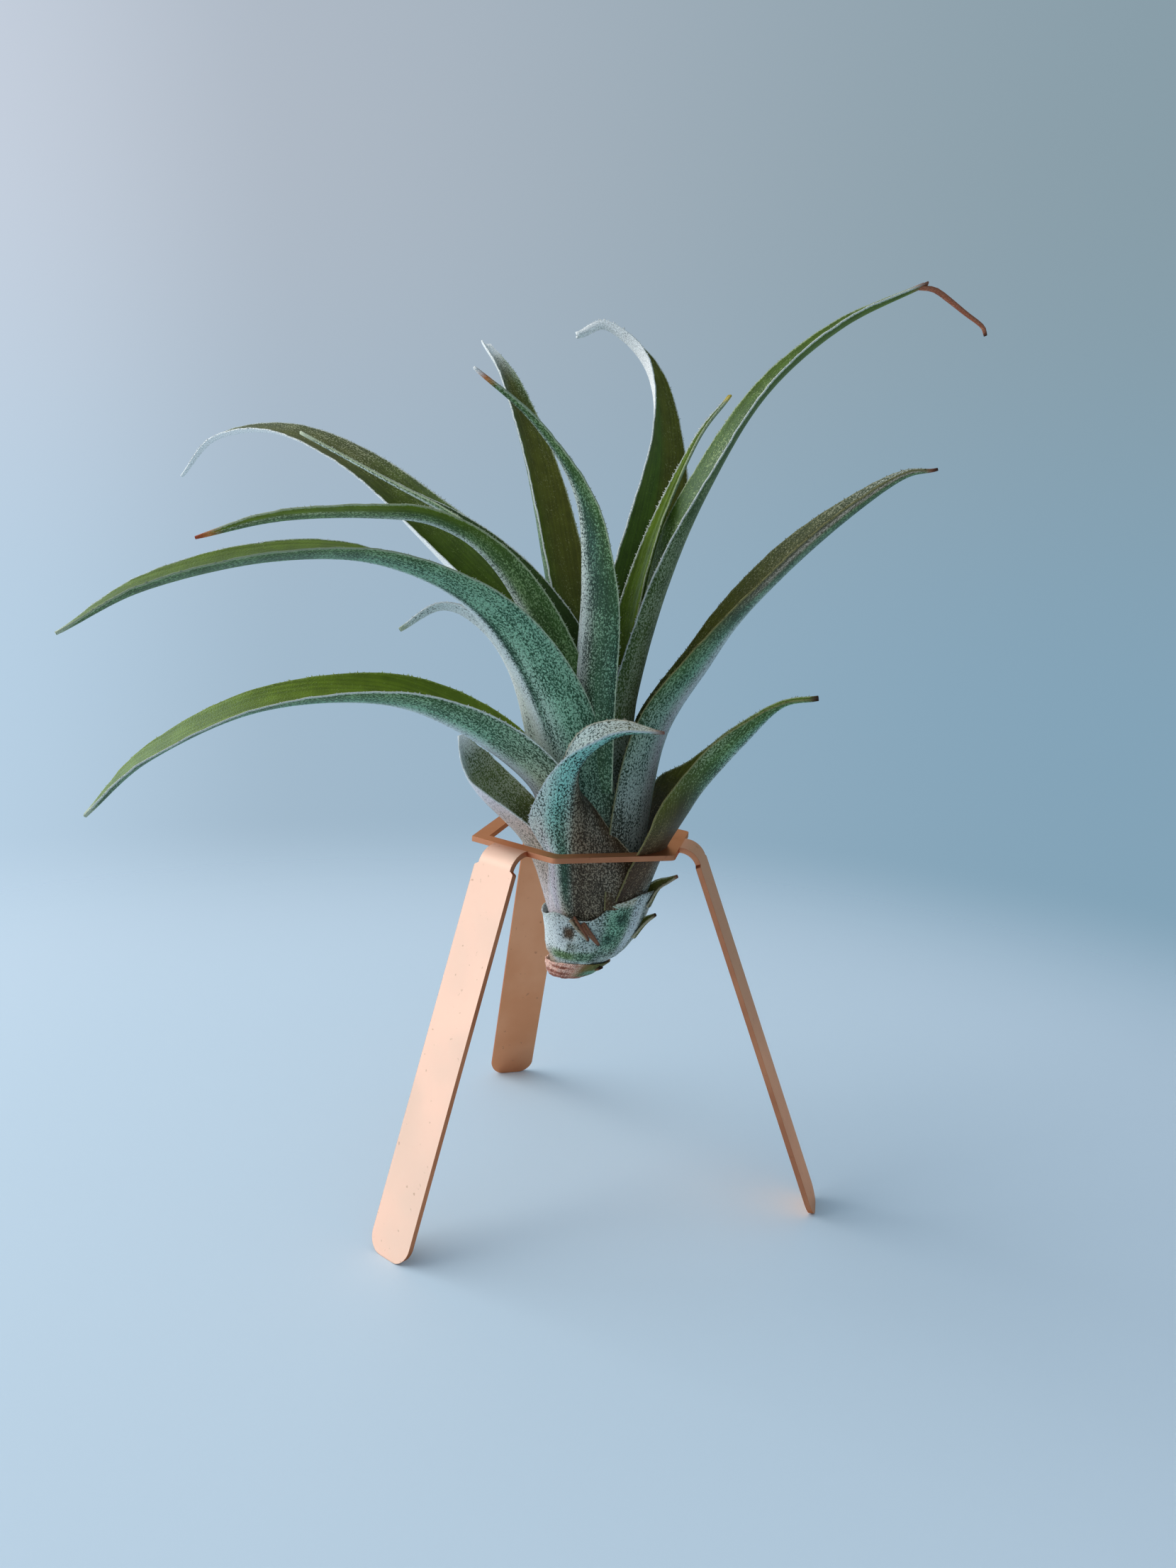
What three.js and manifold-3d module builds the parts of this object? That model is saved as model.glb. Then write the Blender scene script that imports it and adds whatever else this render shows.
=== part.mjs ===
// A silvery air plant standing in a copper tripod stand.
// The stand is one piece of sheet: a flat hexagonal ring with three strip legs bent down from it.
// The plant is a rosette of long channelled leaves whose sheathing bases wrap a short stem and
// taper to a cup of old sheaths and dry scales below the ring.
// Millimetres, +Z up. Everything is laid out round the stand's axis, with z = 0 under the feet.
import * as THREE from "three";
import Module from "manifold-3d";

const wasm = await Module();
wasm.setup();

// The stand
const SHEET = 1;
const RING_TOP = 71.6;
const LEG_SIDE_AT = 19.6; // from the axis to a ring side that carries a leg
const PLAIN_SIDE_AT = 19; // from the axis to a ring side without one
const RING_WIDTH = 3;
const CORNER_RADIUS = 1.6;
const SHARP_CORNER = 3; // the ring's left corner, counted from the one after the right leg
const SHARP_CORNER_RADIUS = 0.3;
const CORNER_TURN = 60; // degrees from one side of the ring to the next
const LEG_WIDTH = 10;
const NECK_WIDTH = 8.2;
const NECK_FLARE = 0.6; // length over which the neck widens to the leg
const BEND_RADIUS = 4.5; // of the leg's outer face, where it leaves the ring
const BEND_TURN = 70; // degrees, about what each leg turns down by
const BEND_STEPS = 7;
const FOOT_CORNER = 3.4;
const FOOT_STATIONS = [1, 0.6, 0.3, 0.1, 0]; // along the foot's rounding, as shares of it from the end
const ANCHOR = 1.5; // how far a leg's strip runs back into the ring
const LEGS = [
  { azimuth: -12.7, reach: 51.3, skew: 1.2 },
  { azimuth: 107.3, reach: 50.1, skew: -2 },
  { azimuth: 227.3, reach: 46.4, skew: -0.3 },
];

// The plant
const PLANT_AT = [3, -2]; // its axis, from the stand's
const GAP = 0.3; // between pieces that touch
const BASE_THICKNESS = 0.9; // of a leaf along its keel, at its root
const TIP_THICKNESS = 0.7;
const MARGIN_THICKNESS = 0.6;
const ROOT_CREASE = 0.05; // share of a leaf's fold that is already there at its keel
const TIP_CREASE = 0.55;
const ACROSS = 3; // panels from a leaf's keel to its margin
const SIDES = 32; // round the stem and the lower sheaths
const CUP_LEVELS = 8; // from a cup's bottom to its rim
const CURVE_BELOW = 57; // the stem's lower end curves to the left below this height
const CURVE = 0.0257;

// Where the stand's axis lies when the origin is at the centre of the object's base
const STAND_AT = [10.2, -3.1];

const COPPER = { color: 0xd99a7c, roughness: 0.32, metalness: 1 };
const TEAL = { color: 0x6f8f80, roughness: 0.7, metalness: 0 };
const GREEN = { color: 0x5d7a3a, roughness: 0.6, metalness: 0 };
const OLIVE = { color: 0x6f7048, roughness: 0.7, metalness: 0 };
const SILVER = { color: 0xa9aaa2, roughness: 0.8, metalness: 0 };
const PAPER = { color: 0xb58b7c, roughness: 0.8, metalness: 0 };
const DRY = { color: 0x5b4334, roughness: 0.8, metalness: 0 };

// Each leaf's path runs along its keel: [reach, side, height] from the plant's axis, in the upright
// plane at the leaf's azimuth. Half is half its width laid flat, fold the angle at which its margin
// stands up from flat, and roll its turn about its own path, in degrees. All are spaced evenly along
// the leaf. A leaf whose two sides differ has farHalf and farFold for the side further round the plant.
// The list runs from the innermost leaf to the outermost.
const LEAVES = [
  {
    name: "leaf_right_narrow",
    look: GREEN,
    azimuth: 45,
    path: [[3.5, 0, 82], [5, 0, 104.5], [10.5, 0, 127], [21, 0, 147], [31, 0, 157.5]],
    half: [7, 4, 1.3, 0.5],
    fold: [85, 65, 55, 45],
    roll: [0, -5, -5],
  },
  {
    name: "leaf_left_narrow",
    look: GREEN,
    azimuth: 156,
    path: [[4.5, 0, 84], [7, 0, 102.5], [17, 0, 117.5], [31.5, 0, 129], [50.5, 0, 137.5], [70.5, 0, 146]],
    half: [7, 6, 4, 1.2, 0.6],
    fold: [80, 50, 40, 50],
    roll: [0, 0, 15],
  },
  {
    name: "leaf_centre_curled",
    look: GREEN,
    azimuth: 150,
    path: [[1, -5, 86], [1.5, -11, 108], [2, -18.5, 128.5], [4, -24.5, 147], [8.5, -25.5, 162],
      [16, -22, 169.5], [20, -16.5, 167.5]],
    half: [3, 3.5, 6.5, 5, 1.9, 0.8],
    fold: [80, 50, 30, 40, 40],
    farHalf: [7, 8.5, 7, 4.6, 1.9, 0.9],
    farFold: [80, 50, 30, 65, 95],
    roll: [-55, -50, -10, 10, 35],
  },
  {
    name: "leaf_front_tall",
    look: TEAL,
    azimuth: 228,
    path: [[5, 0, 82], [8.5, 0, 102], [8.5, 0, 120], [11.5, 0, 135], [23, 0, 146], [37.5, 0, 153]],
    half: [8, 9, 6, 2.5, 0.4],
    fold: [65, 70, 30, 45],
    roll: [-40, -30, -25],
  },
  {
    name: "leaf_back_tall",
    look: GREEN,
    azimuth: 118,
    path: [[6.5, 0, 78], [15.5, 0, 99.5], [25.5, 0, 121], [36.5, 0, 142.5], [50.5, 0, 160],
      [63, 0, 169.5]],
    half: [9, 9, 7, 4, 1.5],
    fold: [80, 65, 40, 40],
    roll: [15, 20, 15],
  },
  {
    name: "leaf_right_tall",
    look: GREEN,
    azimuth: 18,
    path: [[5.5, 0, 76], [5.5, 0, 88], [6, 0, 99.5], [10.5, 0, 119], [17.5, 0, 137.5], [28, 0, 156],
      [43, 0, 170], [61, 0, 180]],
    half: [10, 10, 7.5, 7, 4.5, 3, 1],
    fold: [80, 75, 60, 40, 40, 35],
    roll: [-10, -15, 0, 0],
    deadTip: {
      path: [[59, 0, 179.2], [62.8, 0, 179.2], [66.6, 0, 177.6], [70.5, 0, 175.7], [74.6, 0, 173.8],
        [75.7, 0, 172.1]],
      half: [0.9, 0.8, 0.6, 0.4],
    },
  },
  {
    name: "leaf_left_high",
    look: GREEN,
    azimuth: 148,
    path: [[8, 0, 74], [9, 0, 88], [23, 0, 110], [42.5, 0, 126], [62.5, 0, 139.5], [84.5, 0, 147],
      [104.5, 0, 146], [116, 0, 137.5]],
    half: [11, 10, 10.5, 7, 5, 2, 0.6],
    fold: [80, 80, 60, 30, 30, 40],
    roll: [-10, -20, -15, -30],
  },
  {
    name: "leaf_left_middle",
    look: TEAL,
    azimuth: 188,
    path: [[7.5, 0, 76], [8, 0, 90], [13.5, 0, 107.5], [22.5, 0, 122], [32.5, 0, 128.5], [44.5, 0, 129.5],
      [60.5, 0, 128], [75, 0, 124]],
    half: [10, 10, 8, 5, 5, 4, 0.4],
    fold: [80, 70, 60, 45, 30, 40],
    roll: [5, 5, 0, 5],
  },
  {
    name: "leaf_left_front",
    look: TEAL,
    azimuth: 212,
    path: [[9, 0, 66], [10.5, 0, 80], [16.5, 0, 98.5], [28.5, 0, 114], [46, 0, 121.5], [64.5, 0, 121.5],
      [84, 0, 116.5], [97, 0, 109.5]],
    half: [13, 12, 9.5, 6.5, 6.5, 5, 0.4],
    fold: [80, 70, 40, 30, 25, 20],
    roll: [0, 10, -5, 5],
  },
  {
    name: "leaf_right_middle",
    look: OLIVE,
    azimuth: -6,
    path: [[8.5, 0, 60], [9, 0, 74], [11.5, 0, 92], [18.5, 0, 105.5], [25, 0, 116], [37, 0, 129.5],
      [50, 0, 141], [57, 0, 143.5]],
    half: [14, 12.5, 10.5, 8.5, 7, 3, 0.4],
    fold: [80, 65, 50, 40, 45, 20],
    roll: [15, 0, 10, 5],
  },
  {
    name: "leaf_left_white",
    look: SILVER,
    azimuth: 178,
    path: [[10.5, 0, 66], [12.5, 0, 80], [15, 0, 92], [18.5, 0, 102.5], [24, 0, 110], [31.5, 0, 113.5],
      [39.5, 0, 109]],
    half: [7, 5, 4, 4, 2.7, 0.8],
    fold: [75, 65, 45, 40],
    roll: [0, 0, 5],
  },
  {
    name: "leaf_left_low",
    look: TEAL,
    azimuth: 192,
    path: [[8, 0, 55], [12, 0, 71], [13.5, 0, 81], [27.5, 0, 91.5], [43, 0, 96.5], [64, 0, 94.5],
      [82, 0, 85.5], [93, 0, 75]],
    half: [10.5, 13, 11, 8, 5.5, 4.5, 0.8],
    fold: [75, 50, 65, 50, 25, 30],
    roll: [-10, 0, -15, -5],
  },
  {
    name: "leaf_right_low",
    look: OLIVE,
    azimuth: -22,
    path: [[8, 0, 55], [12.9, 0, 70], [17, 0, 78], [20.5, 0, 84], [27, 0, 92.5], [33.5, 0, 100],
      [40, 0, 102]],
    half: [8.4, 11, 12.5, 8, 5.5, 1.5, 0.8],
    fold: [60, 47, 55, 60, 50, 35],
    roll: [10, 20, 5, 20],
  },
  {
    name: "leaf_left_short",
    look: OLIVE,
    azimuth: 182,
    path: [[8, 0, 55], [13.5, 0, 69], [23, 0, 79], [26, 0, 84.5], [27.5, 0, 90]],
    half: [9.1, 9, 8.5, 6, 0.8],
    fold: [65, 55, 35, 35],
    roll: [0, -15, -35],
  },
  {
    name: "leaf_front_short",
    look: TEAL,
    azimuth: -35,
    path: [[1.9, -8, 55], [2.5, -10.8, 61.5], [2.9, -12.6, 69], [3.1, -13.3, 76.5], [4, -14.9, 84],
      [5.8, -16.1, 88.3], [8.9, -15.5, 92], [13, -13.5, 94.5], [18.6, -9.5, 95]],
    half: [4.3, 5.6, 6.3, 8.5, 5.7, 3.4, 2.6, 1.6, 0.4],
    fold: [30, 29, 28, 12, 30, 60, 60, 50, 20],
    farHalf: [7.4, 10.1, 11.7, 6.3, 5, 5, 4.8, 3, 0.4],
    farFold: [52, 52, 52, 60, 155, 110, 60, 50, 20],
    roll: [-77, -77, -77, -60, -35, 0, 30, 20, 0],
  },
];

// Outlines of the stem and of the lower sheaths: [height, radius]. A rim's heights are given evenly
// round the cup from its left side by way of its front.
const STEM = [[45.6, 3], [47, 4.2], [49, 5.6], [51, 6.6], [54, 7.1], [60, 7.7], [66, 8], [72, 7.6],
  [76, 6.8], [82, 4.6], [88, 2.6], [93, 1]];
const CUP = {
  outline: [[44.4, 3.2], [45, 4], [46, 4.9], [47, 5.6], [47.8, 6.2], [48.6, 7.2], [50, 8.1], [53.5, 9.3],
    [57, 10.4], [60, 11.3], [63, 12.3]],
  wall: 0.8,
  rim: [56.6, 56.8, 57.2, 58.2, 57.7, 57.4, 58.1, 60.9, 61.8, 62.7, 62.7, 62.2, 61.5, 60.8, 60, 59.2,
    58.6, 58.2, 57.8, 57.5, 57.2, 57, 56.8, 56.6],
};
const PAPER_CUP = {
  outline: [[43.4, 3], [43.8, 4], [44.6, 4.9], [46, 5.9], [48.2, 7]],
  wall: 0.7,
  rim: [46.6, 46.9, 47.4, 47.7, 47.6, 47.2, 46.9, 46.6, 47, 46.4, 46.8, 46.3],
};

// Small dry pieces at the base, each a blade given as a leaf is
const CUP_SPIKE = {
  azimuth: -20,
  path: [[10.8, 0, 60], [12.6, 0, 63.2], [14.5, 0, 64.6], [16.3, 0, 65.8]],
  half: [3, 1.7, 0.9, 0.4],
  fold: [70, 60, 40, 30],
  roll: [50, 50, 50, 40],
};
const ROLLED_MARGINS = [
  {
    azimuth: -97,
    path: [[10.3, -3.2, 57.8], [10.6, -2, 56.4], [10.1, -0.7, 54.8], [9.6, 0, 53.4]],
    half: [1, 0.9, 0.6, 0.3],
    fold: [70, 70, 60, 40],
    roll: [0, 0],
  },
  {
    azimuth: -97,
    path: [[10.4, -1.2, 57], [10.7, -0.1, 55.8], [10.2, 1.2, 54.1], [9.6, 2.1, 52.7]],
    half: [0.8, 0.8, 0.6, 0.3],
    fold: [70, 70, 60, 40],
    roll: [0, 0],
  },
];
const LOWER_BRACT = {
  azimuth: -24,
  path: [[8.7, 0, 53.2], [10.8, 0, 56.1], [12.8, 0, 57.9]],
  half: [2.5, 1.5, 0.4],
  fold: [70, 50, 30],
  roll: [40, 40],
};

const radians = THREE.MathUtils.degToRad;

// A smooth value at s = 0..1 through evenly spaced values
function blend(values, s) {
  const last = values.length - 1;
  const place = Math.min(Math.max(s, 0), 1) * last;
  const i = Math.min(Math.floor(place), last - 1);
  const f = place - i;
  const here = values[i];
  const next = values[i + 1];
  const before = i > 0 ? values[i - 1] : 2 * here - next;
  const after = i < last - 1 ? values[i + 2] : 2 * next - here;
  const leave = (next - before) / 2;
  const arrive = (after - here) / 2;
  return (
    (2 * f ** 3 - 3 * f ** 2 + 1) * here +
    (f ** 3 - 2 * f ** 2 + f) * leave +
    (-2 * f ** 3 + 3 * f ** 2) * next +
    (f ** 3 - f ** 2) * arrive
  );
}

// Straight-line value at x through [x, y] pairs
function along(pairs, x) {
  const after = pairs.findIndex(([at]) => at >= x);
  if (after < 0) return pairs.at(-1)[1];
  if (after === 0) return pairs[0][1];
  const [x0, y0] = pairs[after - 1];
  const [x1, y1] = pairs[after];
  return y0 + ((y1 - y0) * (x - x0)) / (x1 - x0);
}

function solid(points, faces) {
  const vertProperties = new Float32Array(points.flatMap((p) => [p.x, p.y, p.z]));
  const triVerts = new Uint32Array(faces.flat());
  return new wasm.Manifold(new wasm.Mesh({ numProp: 3, vertProperties, triVerts }));
}

// A solid through closed loops of equally many points. The second half of each loop runs back along
// the first, so both faces are split alike, and the ends are closed across from one half to the other.
function loft(loops) {
  const count = loops[0].length;
  const last = loops.length - 1;
  const at = (loop, i) => loop * count + (i % count);
  const faces = [];
  for (let loop = 0; loop < last; loop++) {
    for (let i = 0; i < count; i++) {
      const a = at(loop, i);
      const b = at(loop, i + 1);
      const c = at(loop + 1, i + 1);
      const d = at(loop + 1, i);
      if (i < count / 2) faces.push([a, b, c], [a, c, d]);
      else faces.push([a, b, d], [b, c, d]);
    }
  }
  for (let i = 0; i < count / 2 - 1; i++) {
    const j = count - 1 - i;
    faces.push([at(0, i), at(0, j), at(0, j - 1)], [at(0, i), at(0, j - 1), at(0, i + 1)]);
    faces.push([at(last, i), at(last, i + 1), at(last, j - 1)]);
    faces.push([at(last, i), at(last, j - 1), at(last, j)]);
  }
  return solid(loops.flat(), faces);
}

// A blade along its keel, made larger all round by grow
function blade(leaf, grow = 0) {
  const azimuth = radians(leaf.azimuth);
  const outward = new THREE.Vector3(Math.cos(azimuth), Math.sin(azimuth), 0);
  const sideways = new THREE.Vector3(-Math.sin(azimuth), Math.cos(azimuth), 0);
  const axis = new THREE.Vector3(...PLANT_AT, 0);
  const keel = (s) => {
    const [reach, side, height] = [0, 1, 2].map((k) => blend(leaf.path.map((p) => p[k]), s));
    return axis.clone().addScaledVector(outward, reach).addScaledVector(sideways, side).setZ(height);
  };
  const steps = 2 * (leaf.path.length - 1);
  const nudge = 1e-3;
  const loops = [];
  for (let i = 0; i <= steps; i++) {
    const s = i / steps;
    const tangent = keel(Math.min(s + nudge, 1)).sub(keel(Math.max(s - nudge, 0))).normalize();
    const flat = sideways.clone().addScaledVector(tangent, -sideways.dot(tangent)).normalize();
    const inner = tangent.clone().cross(flat);
    const roll = radians(blend(leaf.roll, s));
    const across = flat.clone().multiplyScalar(Math.cos(roll)).addScaledVector(inner, Math.sin(roll));
    const up = tangent.clone().cross(across);
    const end = i === 0 ? -grow : i === steps ? grow : 0;
    const centre = keel(s).addScaledVector(tangent, end);
    const halves = [leaf.half, leaf.farHalf ?? leaf.half].map((list) => blend(list, s));
    const folds = [leaf.fold, leaf.farFold ?? leaf.fold].map((list) => radians(blend(list, s)));
    const crease = THREE.MathUtils.lerp(ROOT_CREASE, TIP_CREASE, s);
    const keelThickness = THREE.MathUtils.lerp(BASE_THICKNESS, TIP_THICKNESS, s);
    const loop = [];
    for (const face of [1, -1]) {
      for (let j = -ACROSS; j <= ACROSS; j++) {
        const side = face * j > 0 ? 1 : 0;
        const half = halves[side];
        const fold = folds[side];
        const u = ((face * j) / ACROSS) * (1 + grow / half);
        const slope = fold * (crease + (1 - crease) * Math.abs(u));
        const spread = half / (fold * (1 - crease));
        const lateral = Math.sign(u) * spread * (Math.sin(slope) - Math.sin(fold * crease));
        const rise = spread * (Math.cos(fold * crease) - Math.cos(slope));
        const bulge = Math.max(1 - u * u, 0);
        const thickness = MARGIN_THICKNESS + (keelThickness - MARGIN_THICKNESS) * bulge;
        const offset = face * (thickness / 2 + grow);
        const lean = j === 0 ? 0 : Math.sign(u) * Math.sin(slope);
        const stand = j === 0 ? 1 : Math.cos(slope);
        loop.push(
          centre
            .clone()
            .addScaledVector(across, lateral - offset * lean)
            .addScaledVector(up, rise + offset * stand),
        );
      }
    }
    loops.push(loop.reverse());
  }
  return loft(loops);
}

// A body turned about the curved stem line. Each row gives a height and a radius at a direction,
// and the first and last rows are points on the line.
function turned(rows) {
  const lineX = (z) => PLANT_AT[0] - CURVE * Math.max(CURVE_BELOW - z, 0) ** 2;
  const points = [];
  const faces = [];
  const inside = rows.slice(1, -1);
  inside.forEach((row) => {
    for (let i = 0; i < SIDES; i++) {
      const turn = -Math.PI + (2 * Math.PI * i) / SIDES;
      const [z, r] = row(i / SIDES);
      points.push(new THREE.Vector3(lineX(z) + r * Math.cos(turn), PLANT_AT[1] + r * Math.sin(turn), z));
    }
  });
  const first = points.length;
  for (const row of [rows[0], rows.at(-1)]) {
    const [z] = row(0);
    points.push(new THREE.Vector3(lineX(z), PLANT_AT[1], z));
  }
  const at = (row, i) => row * SIDES + (i % SIDES);
  for (let i = 0; i < SIDES; i++) {
    faces.push([first, at(0, i + 1), at(0, i)]);
    faces.push([first + 1, at(inside.length - 1, i), at(inside.length - 1, i + 1)]);
    for (let row = 0; row < inside.length - 1; row++) {
      faces.push([at(row, i), at(row, i + 1), at(row + 1, i + 1)]);
      faces.push([at(row, i), at(row + 1, i + 1), at(row + 1, i)]);
    }
  }
  return solid(points, faces);
}

function stemSolid(grow = 0) {
  const bottom = STEM[0][0] - grow;
  const top = STEM.at(-1)[0] + grow;
  const heights = STEM.map(([z]) => Math.min(Math.max(z, bottom), top));
  const rows = heights.map((z) => () => [z, along(STEM, z) + grow]);
  return turned([() => [bottom, 0], ...rows, () => [top, 0]]);
}

// An open cup of sheaths with a waved rim
function cupSolid({ outline, wall, rim }, grow = 0) {
  const bottom = outline[0][0];
  const closedRim = [...rim, rim[0]];
  const rimAt = (share) => blend(closedRim, share) + grow;
  const row = (level, inset) => (share) => {
    const low = bottom + inset - (inset > 0 ? 0 : grow);
    const z = low + ((rimAt(share) - low) * level) / CUP_LEVELS;
    return [z, along(outline, z) - inset + (inset > 0 ? -grow : grow)];
  };
  const rows = [() => [bottom - grow, 0]];
  for (let level = 0; level <= CUP_LEVELS; level++) rows.push(row(level, 0));
  for (let level = CUP_LEVELS; level >= 0; level--) rows.push(row(level, wall));
  rows.push(() => [bottom + wall, 0]);
  return turned(rows);
}

// The ring's outline, drawn in by inset from its outer edge
function ringOutline(inset, PathType) {
  const sides = LEGS.flatMap((leg) => [
    { normal: radians(leg.azimuth), distance: LEG_SIDE_AT - inset },
    { normal: radians(leg.azimuth + CORNER_TURN), distance: PLAIN_SIDE_AT - inset },
  ]);
  const corners = sides.map((side, i) => {
    const next = sides[(i + 1) % sides.length];
    const turn = next.normal - side.normal;
    const drift = (next.distance - side.distance * Math.cos(turn)) / Math.sin(turn);
    const direction = new THREE.Vector2(Math.cos(side.normal), Math.sin(side.normal));
    const edge = new THREE.Vector2(-direction.y, direction.x);
    return direction.multiplyScalar(side.distance).addScaledVector(edge, drift);
  });
  const path = new PathType();
  corners.forEach((corner, i) => {
    const before = corners.at(i - 1);
    const after = corners[(i + 1) % corners.length];
    const radius = i === SHARP_CORNER ? SHARP_CORNER_RADIUS : CORNER_RADIUS;
    const cut = radius * Math.tan(radians(CORNER_TURN / 2));
    const from = corner.clone().add(before.clone().sub(corner).setLength(cut));
    const to = corner.clone().add(after.clone().sub(corner).setLength(cut));
    if (i === 0) path.moveTo(from.x, from.y);
    else path.lineTo(from.x, from.y);
    path.quadraticCurveTo(corner.x, corner.y, to.x, to.y);
  });
  path.closePath();
  return path;
}

function ringSolid(grow = 0) {
  const shape = ringOutline(-grow, THREE.Shape);
  shape.holes.push(ringOutline(RING_WIDTH + grow, THREE.Path));
  const settings = { depth: SHEET + 2 * grow, bevelEnabled: false, curveSegments: 3 };
  const geometry = new THREE.ExtrudeGeometry(shape, settings).translate(0, 0, RING_TOP - SHEET - grow);
  return solidOfGeometry(geometry);
}

// Merges the corners that a three.js geometry repeats and makes it a solid
function solidOfGeometry(geometry) {
  const position = geometry.getAttribute("position");
  const points = [];
  const numbers = new Map();
  const order = [];
  for (let i = 0; i < position.count; i++) {
    const point = new THREE.Vector3().fromBufferAttribute(position, i);
    const key = point.toArray().map((v) => v.toFixed(4)).join();
    if (!numbers.has(key)) {
      numbers.set(key, points.length);
      points.push(point);
    }
    order.push(numbers.get(key));
  }
  const faces = [];
  for (let i = 0; i < order.length; i += 3) faces.push(order.slice(i, i + 3));
  return solid(points, faces);
}

// A strip that leaves the ring flat, bends down and runs straight to its rounded foot
function legSolid({ azimuth, reach, skew }) {
  const turn = Math.atan2(RING_TOP, reach - LEG_SIDE_AT - BEND_RADIUS * Math.tan(radians(BEND_TURN / 2)));
  const bendCentre = RING_TOP - BEND_RADIUS;
  const bend = (r, beta) => [LEG_SIDE_AT + r * Math.sin(beta), bendCentre + r * Math.cos(beta)];
  const outer = (beta) => bend(BEND_RADIUS, beta);
  const inner = (beta) => bend(BEND_RADIUS - SHEET, beta);
  const anchorAt = LEG_SIDE_AT - ANCHOR;
  const neck = NECK_WIDTH / 2;
  const stations = [{ outer: [anchorAt, RING_TOP], inner: [anchorAt, RING_TOP - SHEET], half: neck }];
  for (let i = 0; i <= BEND_STEPS; i++) {
    const beta = (turn * i) / BEND_STEPS;
    stations.push({ outer: outer(beta), inner: inner(beta), half: neck });
  }
  const down = [Math.cos(turn), -Math.sin(turn)];
  const flare = (face) => face.map((v, k) => v + NECK_FLARE * down[k]);
  stations.push({ outer: flare(outer(turn)), inner: flare(inner(turn)), half: LEG_WIDTH / 2 });
  const [bendEndX, bendEndZ] = outer(turn);
  const footX = bendEndX + bendEndZ / Math.tan(turn);
  for (const share of FOOT_STATIONS) {
    const fromEnd = share * FOOT_CORNER;
    const z = fromEnd * Math.sin(turn);
    const x = footX - fromEnd * Math.cos(turn);
    const left = FOOT_CORNER - fromEnd;
    const half = LEG_WIDTH / 2 - FOOT_CORNER + Math.sqrt(FOOT_CORNER ** 2 - left ** 2);
    stations.push({ outer: [x, z], inner: [x - SHEET / Math.sin(turn), z], half });
  }
  const normal = radians(azimuth);
  const drift = (reach * Math.tan(radians(skew))) / (reach - LEG_SIDE_AT);
  const place = ([r, z], side) => {
    const offset = side + drift * (r - LEG_SIDE_AT);
    const x = r * Math.cos(normal) - offset * Math.sin(normal);
    const y = r * Math.sin(normal) + offset * Math.cos(normal);
    return new THREE.Vector3(x, y, z);
  };
  const loops = stations.map((station) => [
    place(station.inner, -station.half),
    place(station.inner, station.half),
    place(station.outer, station.half),
    place(station.outer, -station.half),
  ]);
  return loft(loops);
}

function largest(body) {
  const bodies = body.decompose();
  return bodies.reduce((best, next) => (next.volume() > best.volume() ? next : best));
}

// A leaf with its dead tip, where it has one
function leafSolid(leaf, grow = 0) {
  const body = blade(leaf, grow);
  if (!leaf.deadTip) return body;
  const tip = { azimuth: leaf.azimuth, fold: [30, 30], roll: [0, 0], ...leaf.deadTip };
  return body.add(blade(tip, grow));
}

const object = new THREE.Group();
object.position.set(...STAND_AT, 0);

function addMesh(name, body, look) {
  const made = body.getMesh();
  const geometry = new THREE.BufferGeometry();
  geometry.setAttribute("position", new THREE.BufferAttribute(made.vertProperties, 3));
  geometry.setIndex(new THREE.BufferAttribute(made.triVerts, 1));
  geometry.computeVertexNormals();
  const mesh = new THREE.Mesh(geometry, new THREE.MeshStandardMaterial(look));
  mesh.name = name;
  object.add(mesh);
}

const stand = LEGS.reduce((body, leg) => body.add(legSolid(leg)), ringSolid());
addMesh("stand", stand, COPPER);
addMesh("stem", stemSolid(), SILVER);

const keepClear = [ringSolid(GAP), stemSolid(GAP)];
for (const leaf of LEAVES) {
  const body = keepClear.reduce((rest, other) => rest.subtract(other), leafSolid(leaf));
  addMesh(leaf.name, largest(body), leaf.look);
  keepClear.push(leafSolid(leaf, GAP));
}

const dryPieces = [CUP_SPIKE, ...ROLLED_MARGINS].map((piece) => blade(piece));
const cup = dryPieces.reduce((body, piece) => body.add(piece), cupSolid(CUP));
const cutCup = largest(keepClear.reduce((rest, other) => rest.subtract(other), cup));
addMesh("lower_sheath_cup", cutCup, SILVER);
const grownCup = cupSolid(CUP, GAP);
addMesh("papery_base_scale", largest(cupSolid(PAPER_CUP).subtract(grownCup)), PAPER);
addMesh("lower_bract", largest(blade(LOWER_BRACT).subtract(grownCup)), DRY);

export default object;
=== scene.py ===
"""A silvery air plant in a copper tripod stand, on a pale floor in soft light from the left.

Lengths are in millimetres, laid out round the stand's axis, until a mesh is made in metres. The floor
and the window are given in metres, from the centre of the object's base.
"""

import math

import bpy
import numpy as np
from mathutils import Matrix, Vector


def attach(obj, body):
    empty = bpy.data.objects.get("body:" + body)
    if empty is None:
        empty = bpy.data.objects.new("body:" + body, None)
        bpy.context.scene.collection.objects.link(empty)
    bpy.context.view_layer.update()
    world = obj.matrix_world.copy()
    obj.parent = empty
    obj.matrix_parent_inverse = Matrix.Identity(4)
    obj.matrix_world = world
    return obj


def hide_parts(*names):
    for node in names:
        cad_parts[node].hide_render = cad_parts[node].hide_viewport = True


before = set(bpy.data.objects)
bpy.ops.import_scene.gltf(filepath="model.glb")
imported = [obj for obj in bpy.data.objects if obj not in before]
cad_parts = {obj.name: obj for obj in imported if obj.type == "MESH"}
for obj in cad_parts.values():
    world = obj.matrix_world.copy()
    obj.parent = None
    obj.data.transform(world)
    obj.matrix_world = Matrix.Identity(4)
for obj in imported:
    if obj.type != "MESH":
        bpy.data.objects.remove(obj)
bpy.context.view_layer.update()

MM = 0.001
STAND_AT = (10.2, -3.1, 0.0)  # the stand's axis, from the centre of the object's base
SEED = 41  # of the first leaf
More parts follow.
